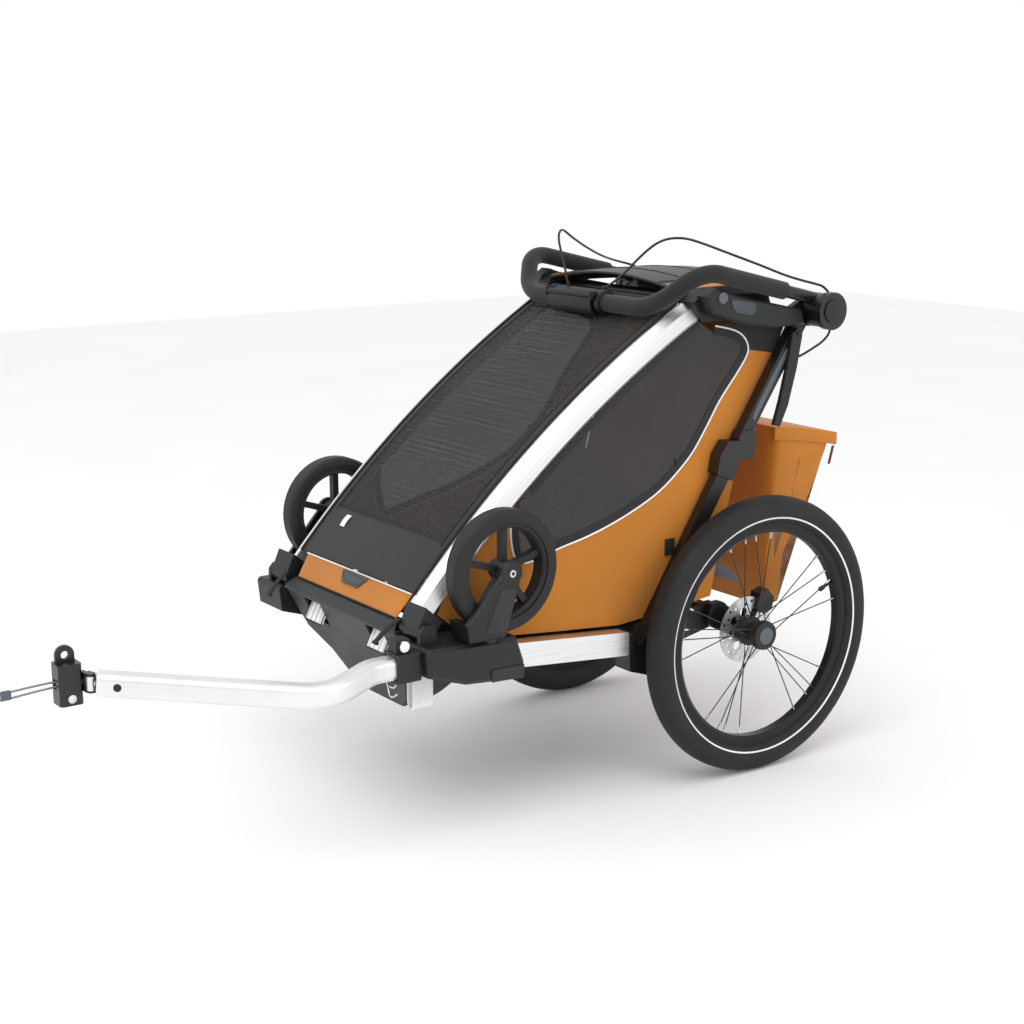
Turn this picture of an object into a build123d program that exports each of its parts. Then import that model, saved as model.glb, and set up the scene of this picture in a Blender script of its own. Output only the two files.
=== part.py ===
from build123d import *
import math
import os

# Two-wheeled child trailer with stowed stroller wheels, folding cabin and hitch arm.
# Everything is modelled with the big wheels' axle at y = 0 and the ground at z = 0,
# +X to the trailer's left, the hitch towards -Y, and moved once by AXLE_Y on export.
AXLE_Y = 470.0          # from the footprint's centre back to the axle

# big wheels (20 inch, 50-406)
WHEEL_R = 253.0
TYRE_W = 48.0
TRACK_X = 285.0         # centre plane of each big wheel
BEAD_R = 205.0
RIM_R = 188.0
SPOKES = 20
HUB_R = 17.0
FLANGE_R = 27.0
CAP_R = 26.0
ROTOR_R = 61.0
AXLE_R = 6.0
RUN = 0.05              # radial running clearance

# stroller wheels, stowed upright on the front housings
SW_R = 101.0
SW_X = 270.0
SW_Y, SW_Z = -553.0, 450.0
STEM_LEAN = 15.6        # degrees the stowed fork leans back

# cabin rails: one long arc in the side plane
RAIL_LOW = (-678.0, 398.0)
RAIL_MID = (-444.0, 625.0)
RAIL_TOP = (-124.0, 844.0)
RAIL_IN, RAIL_OUT = 190.0, 222.0
RAIL_DEEP = 33.0
COVER_X = 189.0         # half width of the front cover
SKIN = 3.0

# hinges, as (y, z)
FOLD = (-685.0, 361.0)  # cabin fold
STRUT = (-235.0, 262.0) # lower rear struts
GRIP = (146.0, 821.0)   # handlebar
SWING = (-46.0, 282.0)  # suspension arm
PADDLE = (97.0, 783.0)  # fold release
LEVER = (-206.0, 849.0) # parking brake lever
YAW = (108.5, -1190.0)  # hitch yaw pin, as (x, y)

ARM_BORE_X, ARM_BORE_Z = 250.0, 316.0
EYE_X, EYE_Y, EYE_Z, EYE_R = 78.0, -1218.0, 377.0, 6.1
SOCKET_X, SOCKET_Y, SOCKET_R = 255.0, -665.0, 11.0

parts = {}


def side(points, x0, x1):
    """Prism of an outline in the side plane (y, z) between two x values."""
    return extrude(Plane.YZ.offset(x0) * Polygon(*points, align=None), amount=x1 - x0, dir=(1, 0, 0))


def rod(y, z, r, x0, x1):
    """Cylinder along X."""
    return Pos((x0 + x1) / 2, y, z) * Rot(0, 90, 0) * Cylinder(r, abs(x1 - x0))


def post(x, y, r, z0, z1):
    """Cylinder along Z."""
    return Pos(x, y, (z0 + z1) / 2) * Cylinder(r, z1 - z0)


def block(x0, x1, y0, y1, z0, z1):
    return Pos((x0 + x1) / 2, (y0 + y1) / 2, (z0 + z1) / 2) * Box(x1 - x0, y1 - y0, z1 - z0)


def bar(a, b, r):
    """Round bar between two points."""
    a, b = Vector(*a), Vector(*b)
    return Plane(origin=(a + b) * 0.5, z_dir=b - a) * Cylinder(r, (b - a).length)


def soften(shape, r, axis=Axis.X):
    return fillet(shape.edges().filter_by(axis), r)


def other(shape):
    return mirror(shape, about=Plane.YZ)


def both(shape):
    return group(shape, other(shape))


def group(*shapes):
    return Compound([s for shape in shapes for s in shape.solids()])


def spin(points):
    """Body of revolution about the X axis from an outline in (x, radius)."""
    return revolve(Plane.XZ * Polygon(*points, align=None), Axis.X)


def add(name, shape):
    parts[name] = shape


def pair(name, shape):
    add(name + "_left", shape)
    add(name + "_right", other(shape))


def circle_of(p, q, r):
    """Centre and radius of the circle through three points."""
    (ax, ay), (bx, by), (cx, cy) = p, q, r
    d = 2 * (ax * (by - cy) + bx * (cy - ay) + cx * (ay - by))
    a2, b2, c2 = ax * ax + ay * ay, bx * bx + by * by, cx * cx + cy * cy
    uy = (a2 * (by - cy) + b2 * (cy - ay) + c2 * (ay - by)) / d
    uz = (a2 * (cx - bx) + b2 * (ax - cx) + c2 * (bx - ax)) / d
    return (uy, uz), math.hypot(ax - uy, ay - uz)


ARC_C, ARC_R = circle_of(RAIL_LOW, RAIL_MID, RAIL_TOP)


def turn_of(p):
    return math.degrees(math.atan2(p[1] - ARC_C[1], p[0] - ARC_C[0]))


A_LOW, A_TOP = turn_of(RAIL_LOW), turn_of(RAIL_TOP)


def arc_pt(deg, off=0.0):
    a = math.radians(deg)
    return (ARC_C[0] + (ARC_R + off) * math.cos(a), ARC_C[1] + (ARC_R + off) * math.sin(a))


def arc_bar(outline, deg0, deg1):
    """Bar along the rails' arc; the outline is (x, offset from the arc)."""
    a = math.radians(deg0)
    plane = Plane(origin=(0, *ARC_C), x_dir=(1, 0, 0), z_dir=(0, -math.sin(a), math.cos(a)))
    face = plane * Polygon(*[(x, ARC_R + n) for x, n in outline], align=None)
    return revolve(face, Axis((0, *ARC_C), (1, 0, 0)), revolution_arc=deg1 - deg0)


def route(points, name):
    """Straight runs joined by arcs as large as the runs allow."""
    v = [Vector(*p) for p in points]
    radii = []
    for a, b, c in zip(v, v[1:], v[2:]):
        half = math.radians((b - a).get_angle(c - b)) / 2
        radii.append(0.45 * min((b - a).length, (c - b).length) / math.tan(half))
    print(name, "radii", [round(r, 1) for r in radii])
    return FilletPolyline(*v, radius=radii)


def cord(points, r, name):
    path = route(points, name)
    start = Vector(*points[1]) - Vector(*points[0])
    tube = sweep(Plane(origin=points[0], z_dir=start) * Circle(r), path=path)
    print(name, "volume", round(tube.volume), "of", round(math.pi * r * r * path.length))
    return tube


def tube_along(points, radii, r):
    path = FilletPolyline(*[Vector(*p) for p in points], radius=radii)
    start = Vector(*points[1]) - Vector(*points[0])
    return sweep(Plane(origin=points[0], z_dir=start) * Circle(r), path=path)


# ---------------------------------------------------------------- big wheels

def tyre():
    """Round casing, open towards the rim."""
    mid = (WHEEL_R + BEAD_R) / 2 + 2
    outer = Plane.XZ * Pos(0, mid) * Ellipse(TYRE_W / 2, WHEEL_R - mid)
    inner = Plane.XZ * Pos(0, mid) * Ellipse(TYRE_W / 2 - 5, WHEEL_R - mid - 6)
    low = Plane.XZ * Pos(0, BEAD_R - 10) * Rectangle(TYRE_W, 24)
    return revolve(outer - inner - low, Axis.X)


def rim():
    return spin([(-12, BEAD_R + 1), (-12.5, 194), (-8, RIM_R), (8, RIM_R), (12.5, 194),
                 (12, BEAD_R + 1), (9.5, BEAD_R + 1), (9, 198), (-9, 198), (-9.5, BEAD_R + 1)])


def spoke(i):
    """Crossed spokes, drawn alternately from the two flanges."""
    flange = -23.0 if i % 2 else 6.0
    head = flange + (2.2 if i % 4 < 2 else -2.2)
    lean = 24.0 if i % 4 < 2 else -24.0
    a, b = math.radians(360.0 * i / SPOKES), math.radians(360.0 * i / SPOKES + lean)
    seat = -2.0 if i % 2 else 2.0
    return bar((head, 23 * math.cos(a), 23 * math.sin(a)),
               (seat, RIM_R * math.cos(b), RIM_R * math.sin(b)), 1.0)


def hub():
    body = spin([(-69, 0), (-69, AXLE_R), (-38, AXLE_R), (-38, 21), (-33, 21), (-30, HUB_R),
                 (-25, HUB_R), (-25, FLANGE_R), (-21, FLANGE_R), (-17, HUB_R), (3, HUB_R),
                 (4, FLANGE_R - 1), (8, FLANGE_R), (17, CAP_R), (19, CAP_R - 2), (19, 16.1),
                 (12, 16.1), (12, 0)])
    disc = rod(0, 0, ROTOR_R, -38.4, -36.6) - rod(0, 0, 21.0 + RUN, -39, -36)
    for i in range(24):
        a = math.radians(15 * i)
        r = 53.0 if i % 2 else 47.0
        disc -= rod(r * math.cos(a), r * math.sin(a), 3.0, -39, -36)
    for i in range(8):
        a = math.radians(45 * i + 10)
        disc -= rod(34 * math.cos(a), 34 * math.sin(a), 8.0, -39, -36)
    return group(body, disc)


def big_wheel(place):
    add_at = lambda name, shape: pair(name, place * shape)
    add_at("tyre", tyre())
    add_at("rim", rim())
    add_at("spokes", group(*[spoke(i) for i in range(SPOKES)]))
    add_at("hub", hub())
    add_at("hub_button", spin([(15.2, 0), (15.2, 15.8), (19.4, 15.8), (20.4, 14.6), (20.4, 0)]))


big_wheel(Pos(TRACK_X, 0, WHEEL_R))


def suspension():
    """Trailing arm with its axle socket and the brake caliper over the rotor."""
    arm = rod(*SWING, 25, 213, 226) + rod(0, WHEEL_R, 20, 213, 240)
    arm += side([(-60, 262), (-60, 300), (-38, 306), (16, 266), (12, 236), (-4, 233)], 213, 226)
    arm += side([(8, 262), (14, 300), (52, 300), (56, 286), (18, 248)], 226, 238)
    arm += side([(20, 284), (26, 318), (44, 324), (60, 306), (56, 284), (40, 278)], 232, 257)
    arm -= rod(0, WHEEL_R, ROTOR_R + 2, 245.2, 249.8)
    arm -= rod(*SWING, 8 + RUN, 212, 227)
    arm -= rod(0, WHEEL_R, AXLE_R + RUN, 212, 241)
    return arm


pair("suspension", suspension())

# ---------------------------------------------------------------- chassis

BASE_SIDE = [(-710, 345), (-705, 298), (-634, 275), (-521, 266), (-520, 294), (-536, 340)]
LEAN = Vector(0, math.sin(math.radians(STEM_LEAN)), math.cos(math.radians(STEM_LEAN)))
STEM_TOP = Vector(268, SW_Y - 100 * math.tan(math.radians(STEM_LEAN)), 350)


def along_stem(r, low, high):
    return bar(tuple(STEM_TOP + LEAN * low), tuple(STEM_TOP + LEAN * high), r)


def front_base():
    """Housing on each front corner: fold pin, stowed fork socket, stroller kit socket."""
    body = side(BASE_SIDE, 200, 290)
    body = fillet(body.edges().filter_by(Axis.X).group_by(Axis.Z)[-1], 8)
    body = chamfer(body.faces().sort_by(Axis.X)[-1].edges(), 6)
    body += along_stem(21, -18, 0) - block(200, 300, -700, -500, 345.6, 380)
    body -= along_stem(11 + RUN, -55, 10)
    body -= post(SOCKET_X, SOCKET_Y, SOCKET_R, 270, 322)
    ear = side([(-702, 335), (-700, 366), (-692, 375), (-678, 375), (-670, 366), (-668, 335)],
               246.4, 256)
    body += ear + rod(*FOLD, 5, 192, 250)
    return body


pair("front_base", front_base())


def lower_rail():
    return soften(side([(-519.6, 315.1), (-519.6, 273), (-272, 251.5), (-272, 293.5)], 220, 250), 5)


add("lower_rails", both(lower_rail()))


def rear_chassis():
    """Welded rear sub-frame: cross beam, two plates and the strut brackets."""
    half = side([(-268, 240), (-268, 290), (-46, 304), (-24, 282), (-46, 260), (-200, 228)], 196, 212)
    half += side([(-271.6, 240), (-270, 222), (-216, 204), (-205, 215), (-205, 240)], 212, 252)
    half += side([(-271.6, 240), (-271.6, 290), (-264, 291), (-257, 266), (-257, 240)], 212, 252)
    for x0, x1 in ((212, 224.6), (245.4, 252)):
        half += side([(-257, 240), (-253, 266), (-235, 280), (-217, 262), (-216, 240)], x0, x1)
    half += rod(*STRUT, 5, 212, 252) + rod(*SWING, 8, 212, 229) + rod(*SWING, 11, 226.3, 230)
    return half + other(half) + rod(*SWING, 16, -200, 200)


add("rear_chassis", rear_chassis())


def floor_pan():
    wide = side([(-499.6, 279), (-271.9, 269.6), (-271.9, 273.6), (-499.6, 283)], -219.7, 219.7)
    back = side([(-272, 269.6), (-64, 261), (-64, 265), (-272, 273.6)], -195.7, 195.7)
    return wide + back


add("floor_pan", floor_pan())


def nose_prism(grow, lift):
    """Tapered footwell: a front outline and a side outline crossed."""
    front = [(190, 352), (190, 333), (178, 272), (121, 237), (94, 200), (67, 175)]
    front = [(x - grow, z + (lift if z < 350 else 40 * lift)) for x, z in front]
    front += [(-x, z) for x, z in reversed(front)]
    across = extrude(Plane.XZ * Polygon(*front, align=None), amount=400, dir=(0, -1, 0))
    across = Pos(0, -450, 0) * across
    cut = [(-704, 352), (-618, 175), (-566, 190), (-500, 262), (-500, 352)]
    if grow:
        cut = [(-700, 400), (-700, 352), (-615, 179), (-568, 194), (-490, 280), (-490, 400)]
    return across & side(cut, -220, 220)


def nose_shell():
    shell = nose_prism(0, 0) - nose_prism(4, 4)
    for s in (1, -1):
        # wells that the two front reflectors sit in
        shell -= block(s * 105 - 28, s * 105 + 28, -720, -600, 296, 338)
    return shell


add("nose_shell", nose_shell())


def reflector(s):
    lean = math.degrees(math.atan2(86, 177))
    return Pos(s * 105, -684.4, 317) * Rot(-lean, 0, 0) * Box(54, 5, 38)


add("reflectors", group(*[reflector(s) for s in (1, -1)],
                        *[s for s in both(side([(-588, 272), (-588, 292), (-524, 292), (-524, 270)],
                                               290.1, 292)).solids()]))

# ---------------------------------------------------------------- hitch

ARM_PTS = [(ARM_BORE_X, -712, ARM_BORE_Z), (ARM_BORE_X, -790, ARM_BORE_Z),
           (282, -884, 300), (113, -1182, 335)]
ARM_DIR = (Vector(*ARM_PTS[3]) - Vector(*ARM_PTS[2])).normalized()


def hitch_arm():
    """Rounded-square tube with a plug, a stub and the yaw eye on its front end."""
    path = FilletPolyline(*[Vector(*p) for p in ARM_PTS], radius=[70, 95])
    section = Plane(origin=ARM_PTS[0], x_dir=(1, 0, 0), z_dir=(0, -1, 0)) * RectangleRounded(36, 38, 11)
    arm = sweep(section, path=path)
    end = Vector(*ARM_PTS[3])
    arm += bar(tuple(end - ARM_DIR * 3), tuple(end + ARM_DIR * 8), 7)
    arm += post(*YAW, 8.5, 325, 347)
    return arm - post(*YAW, 4 + RUN, 320, 352)


add("hitch_arm", hitch_arm())


def hitch_receiver():
    """Collar that the arm slides into, with the clevis for the retaining pin."""
    x, z = ARM_BORE_X, ARM_BORE_Z
    body = soften(block(x - 23, x + 23, -752, -710.2, z - 24, z + 25), 6, Axis.Y)
    body += block(x - 11, x + 12, -750, -724, z + 20, z + 46)
    body -= block(x - 18.1, x + 18.1, -753, -709, z - 19.1, z + 19.1)
    body -= rod(-737, 352, 4 + RUN, x - 20, x + 20)
    return body


add("hitch_receiver", hitch_receiver())
add("hitch_pin", rod(-737, 352, 4, 238, 263) + rod(-737, 352, 9, 262.3, 268))


def hitch_swivel():
    x, y = YAW
    body = post(x, y, 7, 347.2, 351) + post(x, y, 7, 321, 324.8) + post(x, y, 4, 321, 351)
    web = block(87, 103, -1198.6, -1192, 321, 351)
    web += block(96, 109, -1198, -1186, 347.2, 351) + block(96, 109, -1198, -1186, 321, 324.8)
    web -= post(x, y, 9.2, 325, 347)
    return body + web + Pos(93, -1204, 336) * Rot(90, 0, 0) * Cylinder(6, 14)


add("hitch_swivel", hitch_swivel())


def hitch_head():
    """Coupler block with the eye that the bicycle's axle passes through."""
    body = block(66, 100, -1236, -1199.2, 302, 366)
    body = chamfer(body.edges().filter_by(Axis.Z), 4)
    body += block(EYE_X - 3, EYE_X + 3, EYE_Y - 15, EYE_Y + 15, 360, EYE_Z)
    body += rod(EYE_Y, EYE_Z, 15, EYE_X - 3, EYE_X + 3)
    body -= rod(EYE_Y, EYE_Z, EYE_R, EYE_X - 5, EYE_X + 5)
    body -= Pos(93, -1205, 336) * Rot(90, 0, 0) * Cylinder(6 + RUN, 14)
    body -= rod(EYE_Y, 313, 6.5 + RUN, 95, 102)
    body -= block(74, 86, -1238, -1234.2, 326, 342)
    return body


add("hitch_head", hitch_head())
add("hitch_lock", rod(EYE_Y, 313, 6.5, 95.2, 101.5) - block(101, 102, EYE_Y - 4, EYE_Y + 4, 312.4, 313.6))

LEASH = [(80, -1234.2, 338), (79.5, -1270, 337), (78.5, -1306, 334.2), (77.5, -1340, 334.4),
         (77, -1370, 338), (76.6, -1397, 343), (76.4, -1419, 343.8), (76.3, -1431.4, 342),
         (76.2, -1440, 333.5), (76.2, -1440, 322), (76.3, -1431, 314), (76.4, -1418, 311.5),
         (76.6, -1397, 314.5), (77, -1370, 319.5), (77.5, -1340, 322.5), (78.5, -1306, 324.5),
         (79.5, -1270, 328), (80, -1234.2, 330)]
add("leash", cord(LEASH, 1.75, "leash"))


def strap_loop():
    """Hanging webbing loop under the left housing."""
    with BuildLine(Plane.XZ) as line:
        Polyline((206, 292), (206, 238))
        ThreePointArc((206, 238), (215, 227), (224, 238))
        Polyline((224, 238), (224, 292))
    sheet = sweep(Plane(origin=(206, -677, 292), x_dir=(1, 0, 0), z_dir=(0, 0, -1)) * Rectangle(2, 40),
                  path=line.wires()[0])
    return sheet - side([(-712, 346), (-706, 297.7), (-634, 274.7), (-521, 265), (-521, 346)], 190, 300)


add("strap_loop", strap_loop())

# ---------------------------------------------------------------- stroller forks and wheels


def stroller_fork():
    """One-sided fork: stem, crown and outer leg."""
    leg = side([(-573, 452), (-533, 447), (-565, 345.9), (-634, 345.9), (-639, 376)], 289.6, 300)
    leg += rod(SW_Y, SW_Z, 21, 289.6, 300)
    leg = chamfer(leg.faces().sort_by(Axis.X)[-1].edges(), 3)
    leg += side([(-639, 376), (-634, 345.9), (-567, 345.9), (-562, 372)], 246, 290)
    leg -= rod(SW_Y, SW_Z, SW_R + 1.5, 240, 289.5)
    leg += rod(SW_Y, SW_Z, 5, 254, 292)
    return leg + along_stem(11, -48, -3.5)


def stroller_wheel():
    hw = 18.0
    tread = spin([(-11, SW_R), (-16, SW_R - 4), (-hw, SW_R - 12), (-hw + 1, 80), (hw - 1, 80),
                  (hw, SW_R - 12), (16, SW_R - 4), (11, SW_R)])
    core = spin([(-15, 79.9), (-16, 74), (-12, 71), (12, 71), (16, 74), (15, 79.9)])
    core += rod(0, 0, 17, -16, 17)
    for i in range(5):
        arm = Pos(0, 0, 43) * Box(14, 11, 62)
        core += Rot(72 * i, 0, 0) * arm
    return group(tread, core - rod(0, 0, 5 + RUN, -17, 19))


pair("stroller_fork", stroller_fork())
pair("stroller_wheel", Pos(SW_X, SW_Y, SW_Z) * stroller_wheel())

# ---------------------------------------------------------------- cabin frame


def side_rail():
    """Bright extruded rail with a ridge along its outer side."""
    outline = [(RAIL_IN, 0), (197, 1), (212, -9), (RAIL_OUT, -28), (219, -RAIL_DEEP),
               (196, -RAIL_DEEP), (RAIL_IN, -26)]
    return arc_bar(outline, A_TOP, A_LOW)


pair("side_rail", side_rail())


def knuckle():
    body = side([(-699, 366), arc_pt(A_LOW + 0.01, 6), arc_pt(A_LOW + 0.01, -36), (-671, 355)], 191, 246)
    body += rod(*FOLD, 15, 191, 246)
    return body - rod(*FOLD, 5 + RUN, 190, 247)


add("knuckles", both(knuckle()))


def top_bracket():
    """Moulded bracket: takes the rail's end, carries the upright and the handlebar pivot."""
    front = side([arc_pt(A_TOP - 0.01, 4), arc_pt(A_TOP - 0.01, -36), (-62, 812), (-46, 840),
                  (-66, 862), (-95, 868)], 190, 228)
    main = side([(-118, 858), (-95, 872), (-60, 860), (0, 846), (40, 838), (104, 824), (112, 797),
                 (39, 796), (-30, 806), (-104, 828)], 226, 257)
    main = chamfer(main.faces().sort_by(Axis.X)[-1].edges(), 4)
    boss = side([(90, 797), (90, 826), (140, 850), (140, 791)], 226, 238) + rod(*GRIP, 30, 226, 238)
    body = front + main + boss + rod(*GRIP, 8, 230, 262)
    return body - rod(-86, 855, 10, 250, 258)


pair("top_bracket", top_bracket())
pair("lock_button", spin([(250.6 + 3.4, 0), (254, 9.8), (259, 9.8), (260, 8.8), (260, 0)]).moved(
    Location((0, -86, 855))))


def upright():
    """Upper rear tube, rigid with the bracket, resting against the strut's head."""
    tube = side([(-24.6, 612), (2.6, 612), (126, 796.5), (94, 796.5)], 225, 245)
    foot = side([(-28.7, 566), (8, 566), (12, 618), (-22, 618), (-28.7, 606)], 223, 247)
    return tube + foot + rod(*PADDLE, 3, 240, 257.5)


add("uprights", both(upright()))


def fold_paddle():
    blade = side([(85, 786), (108, 779), (98, 722), (80, 656), (62, 619), (47, 623), (60, 664),
                  (74, 722)], 246, 255)
    blade = chamfer(blade.faces().sort_by(Axis.X)[-1].edges(), 2)
    return blade + rod(*PADDLE, 9, 246, 255) - rod(*PADDLE, 3 + RUN, 245, 256)


pair("fold_paddle", fold_paddle())
add("top_crossbar", rod(-85, 846, 10, -189.8, 189.8))

A_COVER = turn_of((-661.6, 404.5))
add("front_cover", arc_bar([(-COVER_X, 0), (COVER_X, 0), (COVER_X, -SKIN), (-COVER_X, -SKIN)],
                           A_TOP + 0.02, A_COVER))


def front_band():
    low, high = Vector(0, -690, 366), Vector(0, -662.4, 404.2)
    up = (high - low).length
    plane = Plane(origin=low, x_dir=(1, 0, 0), z_dir=(0, -(high - low).Z, (high - low).Y))
    return extrude(plane * Polygon((-164, 0), (164, 0), (173, up), (-173, up), align=None), amount=-SKIN)


add("front_band", front_band())


def canopy_roof():
    """Padded roof, higher in the middle."""
    with BuildSketch(Plane.XZ) as s:
        with BuildLine():
            Polyline((-188, 858), (188, 858), (188, 866))
            ThreePointArc((188, 866), (0, 886), (-188, 866))
            Line((-188, 866), (-188, 858))
        make_face()
    roof = extrude(s.sketch, amount=205, dir=(0, 1, 0)).moved(Location((0, -126, 0)))
    return roof + side([(72, 858), (79, 866), (103, 797), (99, 796)], -188, 188)


add("canopy_roof", canopy_roof())

# ---------------------------------------------------------------- rear struts, seat and soft parts


def strut():
    tube = side([(-247, 268), (-223, 256), (-40, 548), (-66, 560)], 226, 244) + rod(*STRUT, 15, 226, 244)
    head = side([(-29.3, 602), (-29.3, 556), (-42, 532), (-78, 548), (-72, 580), (-54, 604)], 222, 248)
    return tube + head - rod(*STRUT, 5 + RUN, 225, 245)


pair("rear_strut", strut())

add("seat", group(side([(-440, 281.5), (-440, 322), (-215, 322), (-215, 272)], -172, 172),
                  side([(-205, 326), (-165, 318), (-95, 486), (-108, 500), (-130, 496)], -168, 168)))


def side_panel():
    """Flat side: lower gold part and window in one skin."""
    edge = [arc_pt(A_LOW + (A_TOP - A_LOW) * i / 8, -36) for i in range(9)]
    edge[0] = (edge[0][0] + 8, edge[0][1] + 2)
    return side(edge + [(-30, 802), (60, 792), (96, 790), (20, 640), (-40, 420), (-60, 318),
                        (-268, 298), (-519, 320), (-536, 348), (-612, 352)], 216, 219)


pair("side_panel", side_panel())
add("rear_panel", side([(98, 792), (22, 641), (-38, 420), (-58, 318), (-55, 318), (-35, 419),
                        (25, 640), (101, 791)], -214, 214))


def cargo_bag():
    return side([(134, 597), (296, 572), (292, 552), (281, 528), (236, 446), (177, 337), (181, 257),
                 (140, 248), (134, 300)], -165, 165)


add("cargo_bag", cargo_bag())

# ---------------------------------------------------------------- handlebar

BAR = [(249.5, 146, 839), (249.5, -124, 903), (181, -180, 836),
       (-181, -180, 836), (-249.5, -124, 903), (-249.5, 146, 839)]
BENDS = [58, 88, 88, 58]


def handlebar():
    """Bent tube with a pivot housing and knob on each end."""
    frame = tube_along(BAR, BENDS, 11)
    end = rod(*GRIP, 30, 238.4, 276) + rod(*GRIP, 33, 275, 289)
    end -= rod(*GRIP, 8 + RUN, 238, 263) + rod(*GRIP, 15, 279.5, 290)
    frame -= rod(*GRIP, 8 + RUN, -263, 263) + rod(*GRIP, 15, 279.5, 290)
    return frame + end + other(end)


def grip():
    start = [(249.5, 62, 858.9)] + BAR[1:5] + [(-249.5, 62, 858.9)]
    path = FilletPolyline(*[Vector(*p) for p in start], radius=BENDS)
    ring = Circle(15.5) - Circle(11 + RUN)
    return sweep(Plane(origin=start[0], z_dir=Vector(*start[1]) - Vector(*start[0])) * ring, path=path)


add("handlebar", handlebar())
add("grip_foam", grip())
pair("grip_button", spin([(284, 0), (284, 14.8), (290, 14.8), (291.5, 13), (291.5, 0)]).moved(
    Location((0, *GRIP))))


def console():
    body = side([(-200, 812), (-200, 852), (-192, 858), (-166, 858), (-160, 850), (-160, 838),
                 (-163, 828), (-172, 820), (-180, 816), (-188, 812)], -85, 50)
    for x0, x1 in ((-85, -80.4), (45.4, 50)):
        body += side([(-199.5, 838), (-212, 843), (-212, 854), (-203, 857), (-190, 857), (-190, 838)],
                     x0, x1)
    body += rod(*LEVER, 2.5, -84, 49)
    return body - rod(-180, 836, 15.5 + RUN, -90, 60)


def brake_lever():
    blade = side([(-211, 849), (-201.2, 847), (-200.9, 812), (-202, 800), (-209, 800), (-212, 812)],
                 -80, 45)
    return blade + rod(*LEVER, 5, -80, 45) - rod(*LEVER, 2.5 + RUN, -81, 46)


add("console", console())
add("brake_lever", brake_lever())

CABLE_NEAR = [(44, -176, 858.3), (50, -140, 880), (62, -104, 918), (82, -78, 943), (106, -50, 947),
              (132, -28, 938), (170, 5, 920), (205, 45, 901), (240, 70, 885), (261, 92, 876),
              (264.5, 122, 869), (264, 148, 862), (262, 163.5, 846.5)]
CABLE_FAR = [(-58, -178, 858.3), (-61, -182, 885), (-66, -188, 915), (-74, -190, 944), (-88, -172, 958),
             (-112, -132, 940), (-142, -84, 922), (-178, -32, 906), (-215, 20, 892), (-244, 60, 883),
             (-261, 92, 876), (-264.5, 122, 869), (-264, 148, 862), (-262, 163.5, 846.5)]
add("upper_cables", group(cord(CABLE_NEAR, 2.2, "near cable"), cord(CABLE_FAR, 2.2, "far cable")))
DROP = [(233, 172, 805.4), (233.5, 192, 795), (234, 196, 776), (234, 178, 760), (234, 154, 750),
        (234.5, 128, 740), (235, 102, 734), (235, 86.2, 733)]
add("lower_cables", both(cord(DROP, 2.2, "lower cable")))

# ---------------------------------------------------------------- export

os.makedirs("parts", exist_ok=True)
low = min(p.bounding_box().min.Y for n, p in parts.items() if n != "leash")
high = max(p.bounding_box().max.Y for n, p in parts.items() if n != "leash")
print(len(parts), "nodes; centred AXLE_Y would be", round(-(low + high) / 2, 3))
for name, shape in parts.items():
    export_step(Pos(0, AXLE_Y, 0) * shape, f"parts/{name}.step")
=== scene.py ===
import math

import bmesh
import bpy
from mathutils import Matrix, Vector


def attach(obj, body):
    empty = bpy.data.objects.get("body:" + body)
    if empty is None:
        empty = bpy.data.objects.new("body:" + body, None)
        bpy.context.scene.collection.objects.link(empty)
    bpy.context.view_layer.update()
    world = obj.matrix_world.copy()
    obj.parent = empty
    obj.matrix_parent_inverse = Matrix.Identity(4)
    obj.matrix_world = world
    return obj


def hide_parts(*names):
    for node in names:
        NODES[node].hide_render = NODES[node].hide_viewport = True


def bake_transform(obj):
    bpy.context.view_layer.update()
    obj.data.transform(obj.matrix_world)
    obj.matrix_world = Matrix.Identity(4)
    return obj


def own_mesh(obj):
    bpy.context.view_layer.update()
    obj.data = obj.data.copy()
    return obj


bl_info = {
    "name": "Child Bicycle Trailer",
    "version": (1, 0, 0),
    "blender": (4, 5, 0),
    "location": "View3D > Sidebar > Trailer",
    "description": "Finishes the trailer's frame with covers, cushions, cables and trim",
    "category": "Object",
}

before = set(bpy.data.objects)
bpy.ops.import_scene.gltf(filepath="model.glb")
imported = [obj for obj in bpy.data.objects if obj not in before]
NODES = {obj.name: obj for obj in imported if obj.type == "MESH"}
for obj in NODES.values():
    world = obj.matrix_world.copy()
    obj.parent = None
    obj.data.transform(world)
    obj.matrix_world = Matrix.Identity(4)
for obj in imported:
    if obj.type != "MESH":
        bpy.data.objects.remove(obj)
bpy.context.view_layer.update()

AXLE = 0.470            # the big wheels' axle in the model, metres behind its middle
WHEEL_X, WHEEL_Z = 0.285, 0.253
RAIL = ((-678.0, 398.0), (-444.0, 625.0), (-124.0, 844.0))   # the rails' arc, mm
SPOKES = 20
SIDE_X = 216.2            # side cloths stand this far out from the middle, mm
BAR = (-180, 836)         # (y, z) of the bar's straight middle
KNOB = (146, 821)         # (y, z) of the handle's pivots
FORK_BOLT = (-553, 450)   # (y, z) of the stroller wheels' bolts


# ------------------------------------------------------------------ places

def P(x, y, z):
    """A point given in millimetres from the axle line, in the model's metres."""
    return Vector((x / 1000, y / 1000 + AXLE, z / 1000))


def circle_through(p, q, r):
    (ax, ay), (bx, by), (cx, cy) = p, q, r
    d = 2 * (ax * (by - cy) + bx * (cy - ay) + cx * (ay - by))
    a2, b2, c2 = ax * ax + ay * ay, bx * bx + by * by, cx * cx + cy * cy
    uy = (a2 * (by - cy) + b2 * (cy - ay) + c2 * (ay - by)) / d
    uz = (a2 * (cx - bx) + b2 * (ax - cx) + c2 * (bx - ax)) / d
    return (uy, uz), math.hypot(ax - uy, ay - uz)


ARC_C, ARC_R = circle_through(*RAIL)
TURN = [math.atan2(z - ARC_C[1], y - ARC_C[0]) for y, z in RAIL]


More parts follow.
